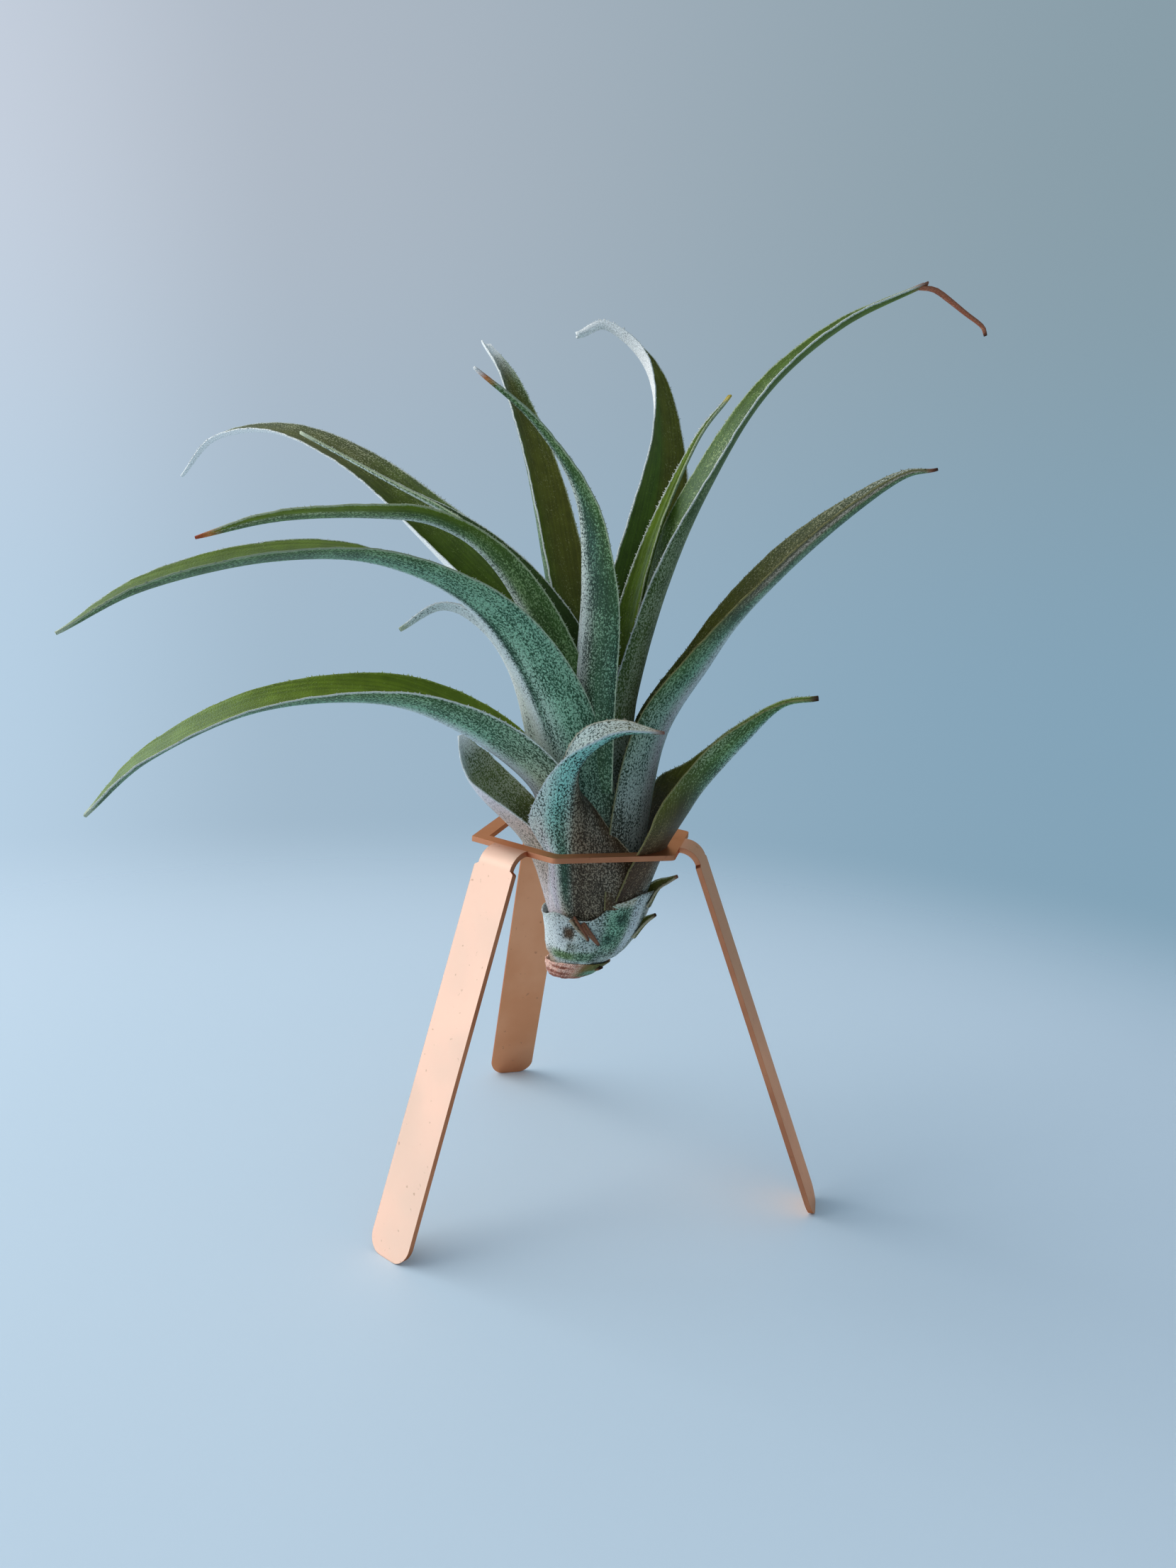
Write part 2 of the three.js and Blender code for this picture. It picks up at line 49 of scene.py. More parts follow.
BASE_SEED = 141  # of the pieces at the base

# The stand
SHEET = 1
RING_TOP = 71.6
LEG_SIDE_AT = 19.6  # from the axis to a ring side that carries a leg
PLAIN_SIDE_AT = 19
RING_WIDTH = 3
CORNER_RADIUS = 1.6
SHARP_CORNER = 3  # the ring's left corner, counted from the one after the right leg
SHARP_CORNER_RADIUS = 0.3
CORNER_TURN = 60
CORNER_STEPS = 6
LEG_WIDTH = 10
NECK_WIDTH = 8.2
NECK_FLARE = 0.6  # length over which the neck widens to the leg
FLARE_STEPS = 3
BEND_RADIUS = 4.5
BEND_TURN = 70
BEND_STEPS = 28
LEG_STEPS = 12
FOOT_CORNER = 3.4
FOOT_STEPS = 10
EDGE_ROUNDING = 0.16
LEGS = [
    {"azimuth": -12.7, "reach": 51.3, "skew": 1.2},
    {"azimuth": 107.3, "reach": 50.1, "skew": -2},
    {"azimuth": 227.3, "reach": 46.4, "skew": -0.3},
]

# Copper, as light: each pair is mixed by faint clouding
# the legs' outer sides, painted paler as a painted reflection of the window
SHEET_OUTER_PAINTED_LIT = ((0.94, 0.54, 0.37, 1), (0.92, 0.50, 0.34, 1))
# the ring and the legs' inner sides, painted darker and redder as painted shade
SHEET_INNER_PAINTED_SHADE = ((0.84, 0.38, 0.20, 1), (0.78, 0.33, 0.16, 1))
# the cut edges and their rounding, painted darker and redder as painted shade
CUT_EDGE_PAINTED_SHADE = ((0.66, 0.26, 0.13, 1), (0.54, 0.20, 0.10, 1))
PIT_COLOUR = (0.4, 0.14, 0.07, 1)
COPPER_TINT = (0.9, 0.55, 0.38, 1)
SHEET_ROUGHNESS = 0.41
EDGE_ROUGHNESS = 0.45

# The camera, in millimetres round the stand's axis, and its angles in radians
CAMERA_AT = (-6.265, -232.387, 125.102)
CAMERA_YAW = 0.029
CAMERA_DOWN = 0.186
CAMERA_ROLL = 0.057
LENS = 28.02
SENSOR = 36.0

FLOOR_COLOUR = (0.66, 0.785, 0.885, 1)
FLOOR_RADIUS = 3.0
FLOOR_SIDES = 96
FLOOR_FADE = (0.1, 0.34)  # where the floor begins and ends to give way to the surroundings
WINDOW_AT = (-0.95, 0.05, 0.55)
WINDOW_TOWARDS = (0, 0, 0.08)
WINDOW_SIZE = (1.3, 1.0)
WINDOW_WATTS = 10.5
WINDOW_COLOUR = (1.0, 0.975, 0.94)
REFLECTION_WATTS = 32.0
REFLECTION_COLOUR = (0.55, 0.8, 1.0)

# The surroundings at the left and at the right, and from which to which X or Z of a direction they change
LOWER = ((0.53, 0.64, 0.77, 1), (0.40, 0.52, 0.65, 1))
MIDDLE = ((0.395, 0.52, 0.64, 1), (0.225, 0.365, 0.475, 1))
UPPER = ((0.474, 0.527, 0.61, 1), (0.238, 0.332, 0.386, 1))
LEFT_TO_RIGHT = (-0.5, 0.5)
LOWER_TO_MIDDLE = (-0.4, -0.22)
MIDDLE_TO_UPPER = (-0.12, 0.3)
LEFT_EDGE = (-0.2, -0.44)
LEFT_EDGE_GLOW = 1.22  # how much brighter the surroundings are at the picture's left edge

# The plant
PLANT_AT = (3, -2)
BASE_THICKNESS = 0.9
TIP_THICKNESS = 0.6
MARGIN_THICKNESS = 0.26
ROOT_CREASE = 0.05  # share of a leaf's fold that is already there at its keel
TIP_CREASE = 0.55
KEEL_ROUNDING = 0.07  # share of the half width over which the keel's crease is rounded
ACROSS = 26  # panels from margin to margin
STATION = 1.3  # between stations along a leaf
CURVE_BELOW = 57  # the stem's lower end curves to the left below this height
CURVE = 0.0257
SIDES = 120
STEM_LEVELS = 60

# Skin materials: roughness of bare tissue, specular, sheen and bump
FINISHES = {
    "teal_leaf": (0.5, 0.16, 0.04, 0.5),
    "green_leaf": (0.45, 0.12, 0.0, 0.35),
    "olive_leaf": (0.48, 0.14, 0.02, 0.45),
    "silver_leaf": (0.6, 0.2, 0.08, 0.6),
    "papery_scale": (0.6, 0.2, 0.04, 0.5),
    "dry_scale": (0.6, 0.16, 0.02, 0.5),
}
COAT_ROUGHNESS = 0.85  # where scales cover the tissue
SCALE_RELIEF = 0.1
NOISE_SPAN = (0.3, 0.7)  # what most of a noise lies within
COVER_SPAN = (0.76, 1.24)  # pattern and cover together, from bare to covered

# Colours as the eye sees them, 0 to 255, of margins and of tips, dry or white; a white tip is partly scales
# and partly painted highlight where the window lights it
COLOURS = dict(
    white=(240, 242, 238),
    silver=(210, 218, 218),
    pale=(184, 192, 162),
    green=(140, 156, 74),
    olive=(128, 124, 78),
    straw=(206, 182, 84),
    sand=(196, 184, 156),
    orange=(216, 118, 44),
    red_brown=(150, 62, 36),
    dead=(146, 88, 64),
    dark_dead=(66, 38, 26),
)

# Skins: the colour of the tissue, that of the scales on it, and how much of it they cover
SKINS = dict(
    deep=((50, 70, 24), (116, 136, 84), 0.06),
    green=((80, 102, 24), (138, 158, 84), 0.06),
    bright=((104, 124, 24), (150, 166, 78), 0.04),
    olive=((94, 94, 30), (156, 152, 98), 0.1),
    umber=((72, 64, 32), (138, 126, 88), 0.16),
    brown=((74, 52, 30), (140, 114, 82), 0.26),
    plum=((52, 36, 28), (114, 94, 78), 0.2),
    rust=((158, 88, 60), (196, 134, 104), 0.3),
    khaki=((78, 84, 44), (170, 170, 134), 0.36),
    lichen=((72, 94, 46), (166, 180, 142), 0.42),
    sage=((98, 114, 58), (192, 200, 166), 0.5),
    moss=((64, 94, 44), (140, 172, 116), 0.38),
    pine=((36, 64, 48), (108, 152, 126), 0.26),
    fern=((52, 82, 54), (148, 182, 148), 0.36),
    teal=((46, 84, 60), (148, 194, 162), 0.54),
    aqua=((28, 58, 50), (152, 212, 198), 0.6),
    pewter=((50, 60, 50), (172, 184, 170), 0.48),
    taupe=((60, 54, 42), (162, 150, 132), 0.44),
    sheath=((56, 44, 30), (146, 132, 108), 0.4),
    sand=((128, 122, 88), (216, 212, 194), 0.66),
    beige=((102, 88, 66), (210, 190, 168), 0.6),
    frost=((62, 78, 68), (210, 222, 214), 0.66),
    silver=((80, 96, 94), (218, 228, 228), 0.78),
    lilac=((96, 92, 92), (224, 216, 222), 0.76),
    white=((160, 162, 158), (244, 244, 240), 1.0),
    pink_paper=((192, 124, 100), (246, 202, 182), 0.66),
    red_paper=((150, 82, 60), (214, 158, 138), 0.3),
)

# Each leaf is laid out as in the part: its path runs along its keel, [reach, side, height] from the
# plant's axis, in the upright plane at the leaf's azimuth. Half is half its width laid flat, fold the
# angle at which its margin stands up from flat, and roll its turn about its own path, in degrees.
# Where the leaf's second margin differs, it has far_half and far_fold.
# Its inner and outer face have the skins from root to tip at places across, -1 at one margin and 1 at
# the other, and marks: [face, place across, width, from, to, skin]. Rims are the colours of the two
# margins, and tips says from where on the tip has turned which colour.
LEAVES = dict(
    leaf_right_narrow=dict(
        slot="green_leaf", azimuth=45,
        path=[[3.5, 0, 82], [5, 0, 104.5], [10.5, 0, 127], [21, 0, 147], [31, 0, 157.5]],
        half=[7, 4, 1.3, 0.5], fold=[85, 65, 55, 45], roll=[0, -5, -5],
        inner={-1: "deep green green lichen", 1: "green green bright lichen"},
        outer={0: "moss green green"},
        rims=("pale", "white"), tips=[(0.965, "straw")],
    ),
    leaf_left_narrow=dict(
        slot="green_leaf", azimuth=156,
        path=[[4.5, 0, 84], [7, 0, 102.5], [17, 0, 117.5], [31.5, 0, 129], [50.5, 0, 137.5], [70.5, 0, 146]],
        half=[7, 6, 4, 1.2, 0.6], fold=[80, 50, 40, 50], roll=[0, 0, 15],
        inner={0: "deep deep deep olive"},
        outer={-1: "moss moss moss", 0: "moss lichen frost lichen", 0.4: "moss frost frost frost",
               0.85: "moss moss moss olive"},
        rims=("white", "pale"), tips=[(0.97, "pale")],
    ),
    leaf_centre_curled=dict(
        slot="green_leaf", azimuth=150,
        path=[[1, -5, 86], [1.5, -11, 108], [2, -18.5, 128.5], [4, -24.5, 147], [8.5, -25.5, 162],
              [16, -22, 169.5], [20, -16.5, 167.5]],
        half=[3, 3.5, 6.5, 5, 1.9, 0.8], fold=[80, 50, 30, 40, 40], far_half=[7, 8.5, 7, 4.6, 1.9, 0.9],
        far_fold=[80, 50, 30, 65, 95], roll=[-55, -50, -10, 10, 35],
        inner={-1: "deep olive olive lichen", -0.2: "deep olive olive olive", 0.2: "deep green green olive",
               1: "green green olive lichen"},
        # The white of the outer face towards the curled tip, and the white tip, are partly scales and partly
        # painted light where the window lights the crescent.
        outer={0: "moss moss white white white white"},
        rims=("white", "white"), tips=[(0.97, "white")],
    ),
    leaf_front_tall=dict(
        slot="teal_leaf", azimuth=228,
        path=[[5, 0, 82], [8.5, 0, 102], [8.5, 0, 120], [11.5, 0, 135], [23, 0, 146], [37.5, 0, 153]],
        half=[8, 9, 6, 2.5, 0.4], fold=[65, 70, 30, 45], roll=[-40, -30, -25],
        inner={0: "deep moss green"},
        outer={-1: "frost silver silver frost", 0.1: "frost silver frost pewter moss",
               0.35: "fern pewter pine fern moss", 0.5: "fern fern pine moss moss",
               1: "fern pine moss moss lichen"},
        rims=("white", "pale"), tips=[(0.955, "orange"), (0.985, "white")],
    ),
    leaf_back_tall=dict(
        slot="green_leaf", azimuth=118,
        path=[[6.5, 0, 78], [15.5, 0, 99.5], [25.5, 0, 121], [36.5, 0, 142.5], [50.5, 0, 160],
              [63, 0, 169.5]],
        half=[9, 9, 7, 4, 1.5], fold=[80, 65, 40, 40], roll=[15, 20, 15],
        inner={-1: "deep deep olive olive lichen white", -0.3: "deep deep olive olive olive white",
               0.4: "deep green green olive khaki white", 1: "deep green green green khaki white"},
        outer={0: "moss moss pewter white"},
        rims=("pale", "white"), tips=[(0.94, "white")],
    ),
    leaf_right_tall=dict(
        slot="green_leaf", azimuth=18,
        path=[[5.5, 0, 76], [5.5, 0, 88], [6, 0, 99.5], [10.5, 0, 119], [17.5, 0, 137.5], [28, 0, 156],
              [43, 0, 170], [61, 0, 180]],
        half=[10, 10, 7.5, 7, 4.5, 3, 1], fold=[80, 75, 60, 40, 40, 35], roll=[-10, -15, 0, 0],
        dead_tip=dict(
            azimuth=18,
            path=[[59, 0, 179.2], [62.8, 0, 179.2], [66.6, 0, 177.6], [70.5, 0, 175.7], [74.6, 0, 173.8],
                  [75.7, 0, 172.1]],
            half=[0.9, 0.8, 0.6, 0.4], fold=[30, 30], roll=[0, 0],
            inner={0: "rust"}, outer={0: "rust"},
            rims=("dead", "dead"), tips=[(0.93, "dark_dead")],
        ),
        inner={-1: "deep khaki lichen green", 0: "deep lichen lichen green", 1: "deep moss green green"},
        outer={-1: "pewter lichen lichen green green", -0.6: "frost sage lichen green green",
               0: "frost sage sage bright bright"},
        rims=("white", "pale"), tips=[(0.985, "dead")],
    ),
    leaf_left_high=dict(
        slot="green_leaf", azimuth=148,
        path=[[8, 0, 74], [9, 0, 88], [23, 0, 110], [42.5, 0, 126], [62.5, 0, 139.5], [84.5, 0, 147],
              [104.5, 0, 146], [116, 0, 137.5]],
        half=[11, 10, 10.5, 7, 5, 2, 0.6], fold=[80, 80, 60, 30, 30, 40], roll=[-10, -20, -15, -30],
        inner={-1: "deep green green khaki khaki sage", 0.6: "deep green green olive olive white",
               1: "deep green green olive white white"},
        outer={-1: "frost silver white", 0.6: "frost white white white", 1: "white white white white"},
        rims=("silver", "white"), tips=[(0.97, "white")],
    ),
    leaf_left_middle=dict(
        slot="teal_leaf", azimuth=188,
        path=[[7.5, 0, 76], [8, 0, 90], [13.5, 0, 107.5], [22.5, 0, 122], [32.5, 0, 128.5], [44.5, 0, 129.5],
              [60.5, 0, 128], [75, 0, 124]],
        half=[10, 10, 8, 5, 5, 4, 0.4], fold=[80, 70, 60, 45, 30, 40], roll=[5, 5, 0, 5],
        inner={0: "deep green green green olive"},
        outer={-1: "frost frost silver frost", 0.15: "frost frost frost frost moss moss",
               0.4: "moss moss moss moss moss khaki", 0.55: "moss moss moss moss sage sage",
               0.7: "moss moss moss green bright bright", 1: "moss moss moss bright bright olive"},
        rims=("white", "pale"), tips=[(0.97, "orange"), (0.99, "red_brown")],
    ),
    leaf_left_front=dict(
        slot="teal_leaf", azimuth=212,
        path=[[9, 0, 66], [10.5, 0, 80], [16.5, 0, 98.5], [28.5, 0, 114], [46, 0, 121.5], [64.5, 0, 121.5],
              [84, 0, 116.5], [97, 0, 109.5]],
        half=[13, 12, 9.5, 6.5, 6.5, 5, 0.4], fold=[80, 70, 40, 30, 25, 20], roll=[0, 10, -5, 5],
        inner={-1: "deep green bright bright bright", 0: "deep green bright green bright"},
        # Outer face: the silver reaching past the keel is partly scales and partly painted light from the
        # window on the flank; the narrow pine mark is a painted shade line in the crease beside it.
        outer={-1: "silver silver silver frost", 0.02: "frost silver silver frost teal",
               0.14: "pewter frost teal teal moss moss", 0.5: "pewter teal teal fern moss",
               1: "taupe fern teal moss moss moss"},
        marks=[["outer", 0.1, 0.05, 0.24, 0.5, "pine"]],
        rims=("silver", "pale"), tips=[(0.985, "pale")],
    ),
    leaf_right_middle=dict(
        slot="olive_leaf", azimuth=-6,
        path=[[8.5, 0, 60], [9, 0, 74], [11.5, 0, 92], [18.5, 0, 105.5], [25, 0, 116], [37, 0, 129.5],
              [50, 0, 141], [57, 0, 143.5]],
        half=[14, 12.5, 10.5, 8.5, 7, 3, 0.4], fold=[80, 65, 50, 40, 45, 20], roll=[15, 0, 10, 5],
        inner={-1: "plum umber umber umber khaki", 1: "umber khaki olive khaki silver"},
        outer={-1: "brown pewter moss umber umber umber", -0.55: "taupe frost teal fern moss lichen",
               -0.25: "pewter lilac frost fern moss", 0: "lilac silver silver frost pine moss"},
        marks=[["outer", -0.8, 0.13, 0.6, 0.96, "beige"]],
        rims=("olive", "olive"), tips=[(0.96, "dead"), (0.98, "dark_dead")],
    ),
    leaf_left_white=dict(
        slot="silver_leaf", azimuth=178,
        path=[[10.5, 0, 66], [12.5, 0, 80], [15, 0, 92], [18.5, 0, 102.5], [24, 0, 110], [31.5, 0, 113.5],
              [39.5, 0, 109]],
        half=[7, 5, 4, 4, 2.7, 0.8], fold=[75, 65, 45, 40], roll=[0, 0, 5],
        inner={0: "fern pewter silver"},
        outer={-1: "frost silver white white silver", 1: "frost frost silver silver frost"},
        rims=("white", "white"), tips=[(0.97, "pale")],
    ),
    leaf_left_low=dict(
        slot="teal_leaf", azimuth=192,
        path=[[8, 0, 55], [12, 0, 71], [13.5, 0, 81], [27.5, 0, 91.5], [43, 0, 96.5], [64, 0, 94.5],
              [82, 0, 85.5], [93, 0, 75]],
        half=[10.5, 13, 11, 8, 5.5, 4.5, 0.8], fold=[75, 50, 65, 50, 25, 30], roll=[-10, 0, -15, -5],
        inner={-1: "deep bright bright bright bright", -0.5: "deep bright bright bright bright",
               1: "green bright bright green"},
        outer={-1: "lilac lilac silver silver frost", 0.1: "lilac lilac silver frost teal moss",
               0.45: "lilac beige teal teal teal fern", 1: "brown pewter fern moss fern moss"},
        rims=("green", "white"), tips=[(0.985, "pale")],
    ),
    leaf_right_low=dict(
        slot="olive_leaf", azimuth=-22,
        path=[[8, 0, 55], [12.9, 0, 70], [17, 0, 78], [20.5, 0, 84], [27, 0, 92.5], [33.5, 0, 100],
              [40, 0, 102]],
        half=[8.4, 11, 12.5, 8, 5.5, 1.5, 0.8], fold=[60, 47, 55, 60, 50, 35], roll=[10, 20, 5, 20],
        inner={0: "plum umber olive green green"},
        outer={-1: "plum brown olive lichen moss moss", -0.55: "taupe brown umber moss moss moss",
               -0.2: "frost brown fern teal teal", 0: "frost taupe frost silver silver"},
        rims=("olive", "pale"), tips=[(0.97, "dark_dead")],
    ),
    leaf_left_short=dict(
        slot="olive_leaf", azimuth=182,
        path=[[8, 0, 55], [13.5, 0, 69], [23, 0, 79], [26, 0, 84.5], [27.5, 0, 90]],
        half=[9.1, 9, 8.5, 6, 0.8], fold=[65, 55, 35, 35], roll=[0, -15, -35],
        # The inner face's pale sage, frost and white are partly scales and partly painted light, making up
        # for the shade that falls on it.
        inner={-1: "umber olive sage sage sage white", 0.5: "olive olive sage sage frost white"},
        outer={-1: "lilac beige silver silver frost", 1: "lilac beige lilac silver frost"},
        rims=("pale", "white"), tips=[(0.96, "white")],
    ),
    leaf_front_short=dict(
        slot="teal_leaf", azimuth=-35,
        path=[[1.9, -8, 55], [2.5, -10.8, 61.5], [2.9, -12.6, 69], [3.1, -13.3, 76.5], [4, -14.9, 84],
              [5.8, -16.1, 88.3], [8.9, -15.5, 92], [13, -13.5, 94.5], [18.6, -9.5, 95]],
        half=[4.3, 5.6, 6.3, 8.5, 5.7, 3.4, 2.6, 1.6, 0.4], fold=[30, 29, 28, 12, 30, 60, 60, 50, 20],
        far_half=[7.4, 10.1, 11.7, 6.3, 5, 5, 4.8, 3, 0.4], far_fold=[52, 52, 52, 60, 155, 110, 60, 50, 20],
        roll=[-77, -77, -77, -60, -35, 0, 30, 20, 0],
        inner={0: "sand sand frost frost sand"},
        outer={-1: "lilac lilac frost frost aqua frost teal", -0.75: "lilac lilac frost aqua aqua teal",
               -0.5: "beige frost aqua aqua aqua teal", -0.3: "taupe pine aqua aqua fern",
               -0.1: "sheath pewter pewter aqua aqua pine", 0.03: "sheath sheath sheath pine",
               0.6: "sheath taupe sheath sheath", 1: "beige brown brown brown brown"},
        # The pine mark low on the outer face is painted shade below the ring.
        marks=[["outer", -0.3, 0.14, 0.13, 0.3, "pine"]],
        rims=("silver", "sand"), tips=[(0.975, "dead")],
    ),
)

# Outlines of the stem and of the lower sheaths: [height, radius]. A rim's heights are given evenly
# round the cup from its left side by way of its front.
STEM = [[45.6, 3], [47, 4.2], [49, 5.6], [51, 6.6], [54, 7.1], [60, 7.7], [66, 8], [72, 7.6], [76, 6.8],
        [82, 4.6], [88, 2.6], [93, 1]]
CUP = {
    "outline": [[44.4, 3.2], [45, 4], [46, 4.9], [47, 5.6], [47.8, 6.2], [48.6, 7.2], [50, 8.1], [53.5, 9.3],
                [57, 10.4], [60, 11.3], [63, 12.3]],
    "wall": 0.6,
    "rim": [56.6, 56.8, 57.2, 58.2, 57.7, 57.4, 58.1, 60.9, 61.8, 62.7, 62.7, 62.2, 61.5, 60.8, 60, 59.2,
            58.6, 58.2, 57.8, 57.5, 57.2, 57, 56.8, 56.6],
}
PAPER_CUP = {
    "outline": [[43.4, 3], [43.8, 4], [44.6, 4.9], [46, 5.9], [48.2, 7]],
    "wall": 0.5,
    "rim": [46.6, 46.9, 47.4, 47.7, 47.6, 47.2, 46.9, 46.6, 47, 46.4, 46.8, 46.3],
}

# Small dry pieces at the base, each a blade given as a leaf is
CUP_SPIKE = dict(
    azimuth=-20,
    path=[[10.8, 0, 60], [12.6, 0, 63.2], [14.5, 0, 64.6], [16.3, 0, 65.8]],
    half=[3, 1.5, 0.8, 0.35], fold=[70, 60, 40, 30], roll=[50, 50, 50, 40],
    inner={0: "olive"}, outer={0: "khaki olive olive rust"},
    rims=("sand", "pale"), tips=[(0.9, "dead")],
)
ROLLED_MARGINS = [
    dict(
        azimuth=-97,
        path=[[10.3, -3.2, 57.8], [10.6, -2, 56.4], [10.1, -0.7, 54.8], [9.6, 0, 53.4]],
        half=[0.8, 0.7, 0.5, 0.25], fold=[70, 70, 60, 40], roll=[0, 0],
        inner={0: "brown"}, outer={0: "brown rust brown"},
        rims=("sand", "dead"), tips=[(0.9, "dark_dead")],
    ),
    dict(
        azimuth=-97,
        path=[[10.4, -1.2, 57], [10.7, -0.1, 55.8], [10.2, 1.2, 54.1], [9.6, 2.1, 52.7]],
        half=[0.5, 0.55, 0.45, 0.25], fold=[70, 70, 60, 40], roll=[0, 0],
        inner={0: "brown"}, outer={0: "plum brown"},
        rims=("dead", "dead"), tips=[(0.9, "dark_dead")],
    ),
]
PAPER_TIP = dict(
    azimuth=-46,
    path=[[3.2, -2.2, 46.1], [4.2, -2.2, 46.3], [5.2, -2.2, 46.8]],
    half=[0.8, 0.5, 0.25], fold=[60, 50, 30], roll=[30, 30],
    inner={0: "umber"}, outer={0: "olive umber"},
    rims=("dead", "dead"), tips=[(0.7, "dark_dead")],
)
LOWER_BRACT = dict(
    azimuth=-24,
    path=[[8.7, 0, 53.2], [10.8, 0, 56.1], [12.8, 0, 57.9]],
    half=[2, 1.1, 0.35], fold=[70, 50, 30], roll=[40, 40],
    inner={0: "olive"}, outer={0: "khaki olive olive"},
    rims=("sand", "pale"), tips=[(0.88, "dark_dead")],
)

# The left sheath's edge over the right one, and a dent: turn in degrees, height, half widths and depth
SEAM = {
    "heights": [48.5, 50.1, 51.2, 53.2, 55, 56.5, 57.2],
    "turns": [-72, -74, -77, -98, -108, -117, -130],
    "step": 0.36,
}
DENT = (-119, 54.4, 9, 1.5, 0.4)

# Ripples of the cup and of the papery scale: height, waves round, and radians of a wave in a millimetre up
CUP_RIPPLES = ((0.05, 7, 0.9), (0.03, 12, -1.7))
PAPER_RIPPLES = ((0.12, 9, 1.7), (0.07, 23, -2.3))

# Marks on the cup and on the papery scale: [turn in degrees, height, half widths, skin]
CUP_MARKS = [
    [-150, 53, 34, 5, "silver"], [-165, 47.5, 24, 2.4, "beige"], [-55, 56, 34, 8, "pewter"],
    [-66, 56, 14, 5.5, "teal"], [-71, 53.6, 8, 1.2, "pine"], [-63, 57.9, 6, 1.2, "pine"],
    [-62, 61.5, 16, 1.0, "sand"], [-42, 56, 9, 7, "silver"], [-122, 49.4, 24, 1.0, "moss"],
    [-92, 49.6, 14, 1.2, "fern"], [-119, 54.4, 7, 1.3, "brown"], [-112, 51.6, 8, 0.8, "pewter"],
]
PAPER_MARKS = [
    [-140, 45, 50, 0.35, "red_paper"], [-125, 46.4, 30, 0.25, "red_paper"], [-50, 46.2, 38, 3, "olive"],
    [-45, 45.2, 30, 0.8, "teal"], [-110, 44, 60, 0.5, "red_paper"],
]

# A blade's colours along its margins and tip, and its waves and ribs
RIM_LINE = 0.2  # width of the line of scales along a margin
RIM_TINT = 0.5  # how far from the margin the scales have some of its colour
RIM_SHARE = 0.8  # how much of it they have there
MARK_FADE = 0.05  # share of a leaf's length over which a mark begins and ends
TIP_FADE = 0.02  # half the share over which a tip turns to its colour
OUTER_PATTERN_AT = 60  # where the outer face's part of the pattern of scales lies
WAVELENGTHS = ((9.7, 5.3, 3.1), (11.3, 6.1, 3.7))  # of the waves in the two margins
WAVE_HEIGHT = 0.04
RIB_SPACING = 1.15
RIB_HEIGHT = 0.035
FLAT_FROM = 0.9  # share of a leaf's length from which waves and ribs die down
FULL_RELIEF_AT = 2.5  # half width from which a blade has its whole waves and ribs

# The fringe along a margin. The end of a leaf has none, so that it stays inside the part's box.
FRINGE_SPAN = (0.1, 0.955)
FRINGE_PER_MM = 1.5
FRINGE_LENGTH = 0.4
FRINGE_WIDTH = 0.26
FRINGE_ROOT = 0.12  # how deep a scale is set in
FRINGE_SIZES = (0.4, 1.25)
FRINGE_LEAN = (0.5, 0.35)  # towards the tip, as a mean and its spread
FRINGE_TILT = (0, 0.35)
FRINGE_SHADES = (0.75, 1.0)
SCALE_FACES = ((0, 1, 2), (0, 3, 1), (1, 3, 2), (2, 3, 0))

CUP_LEVELS = 26
RIM_THINNING = 0.55  # share by which a cup's wall is thinner at its rim
END_RADIUS = 0.05  # of a turned body, at both ends
FAR_FROM_MARGIN = 9
TURNED_PATTERN = (8, 1.2)  # how far the pattern of scales runs in a radian, and in a millimetre up


def linear(colour):
    """A colour, or the colour of a name, as light."""
    share = np.array(COLOURS[colour] if isinstance(colour, str) else colour, float) / 255
    return np.where(share <= 0.04045, share / 12.92, ((share + 0.055) / 1.055) ** 2.4)


def skin_values(name):
    """A skin as seven numbers: tissue, coat and cover."""
    tissue, coat, cover = SKINS[name]
    return np.array([*linear(tissue), *linear(coat), cover])


def blend(values, s):
    """Smooth values at s = 0..1 through evenly spaced values."""
    values = np.asarray(values, float)
    last = len(values) - 1
    place = np.clip(s, 0, 1) * last
    i = np.minimum(place.astype(int), last - 1)
    f = (place - i).reshape(s.shape + (1,) * (values.ndim - 1))
    here, following = values[i], values[i + 1]
    first, final = (i == 0).reshape(f.shape), (i == last - 1).reshape(f.shape)
    before = np.where(first, 2 * here - following, values[np.maximum(i - 1, 0)])
    after = np.where(final, 2 * following - here, values[np.minimum(i + 2, last)])
    leave, arrive = (following - before) / 2, (after - here) / 2
    return (
        (2 * f**3 - 3 * f**2 + 1) * here
        + (f**3 - 2 * f**2 + f) * leave
        + (-2 * f**3 + 3 * f**2) * following
        + (f**3 - f**2) * arrive
    )


def rise(low, high, x):
    """0 below low, 1 above high, smooth between."""
    t = np.clip((x - low) / (high - low), 0, 1)
    return t * t * (3 - 2 * t)


def unit(v):
    return v / np.linalg.norm(v, axis=-1, keepdims=True)


def heading(angle):
    """The level direction at an angle, and the one a quarter turn on from it."""
    x, y = math.cos(angle), math.sin(angle)
    return np.array([x, y, 0]), np.array([-y, x, 0])


def link(name, data):
    obj = bpy.data.objects.new(name, data)
    bpy.context.scene.collection.objects.link(obj)
    return obj


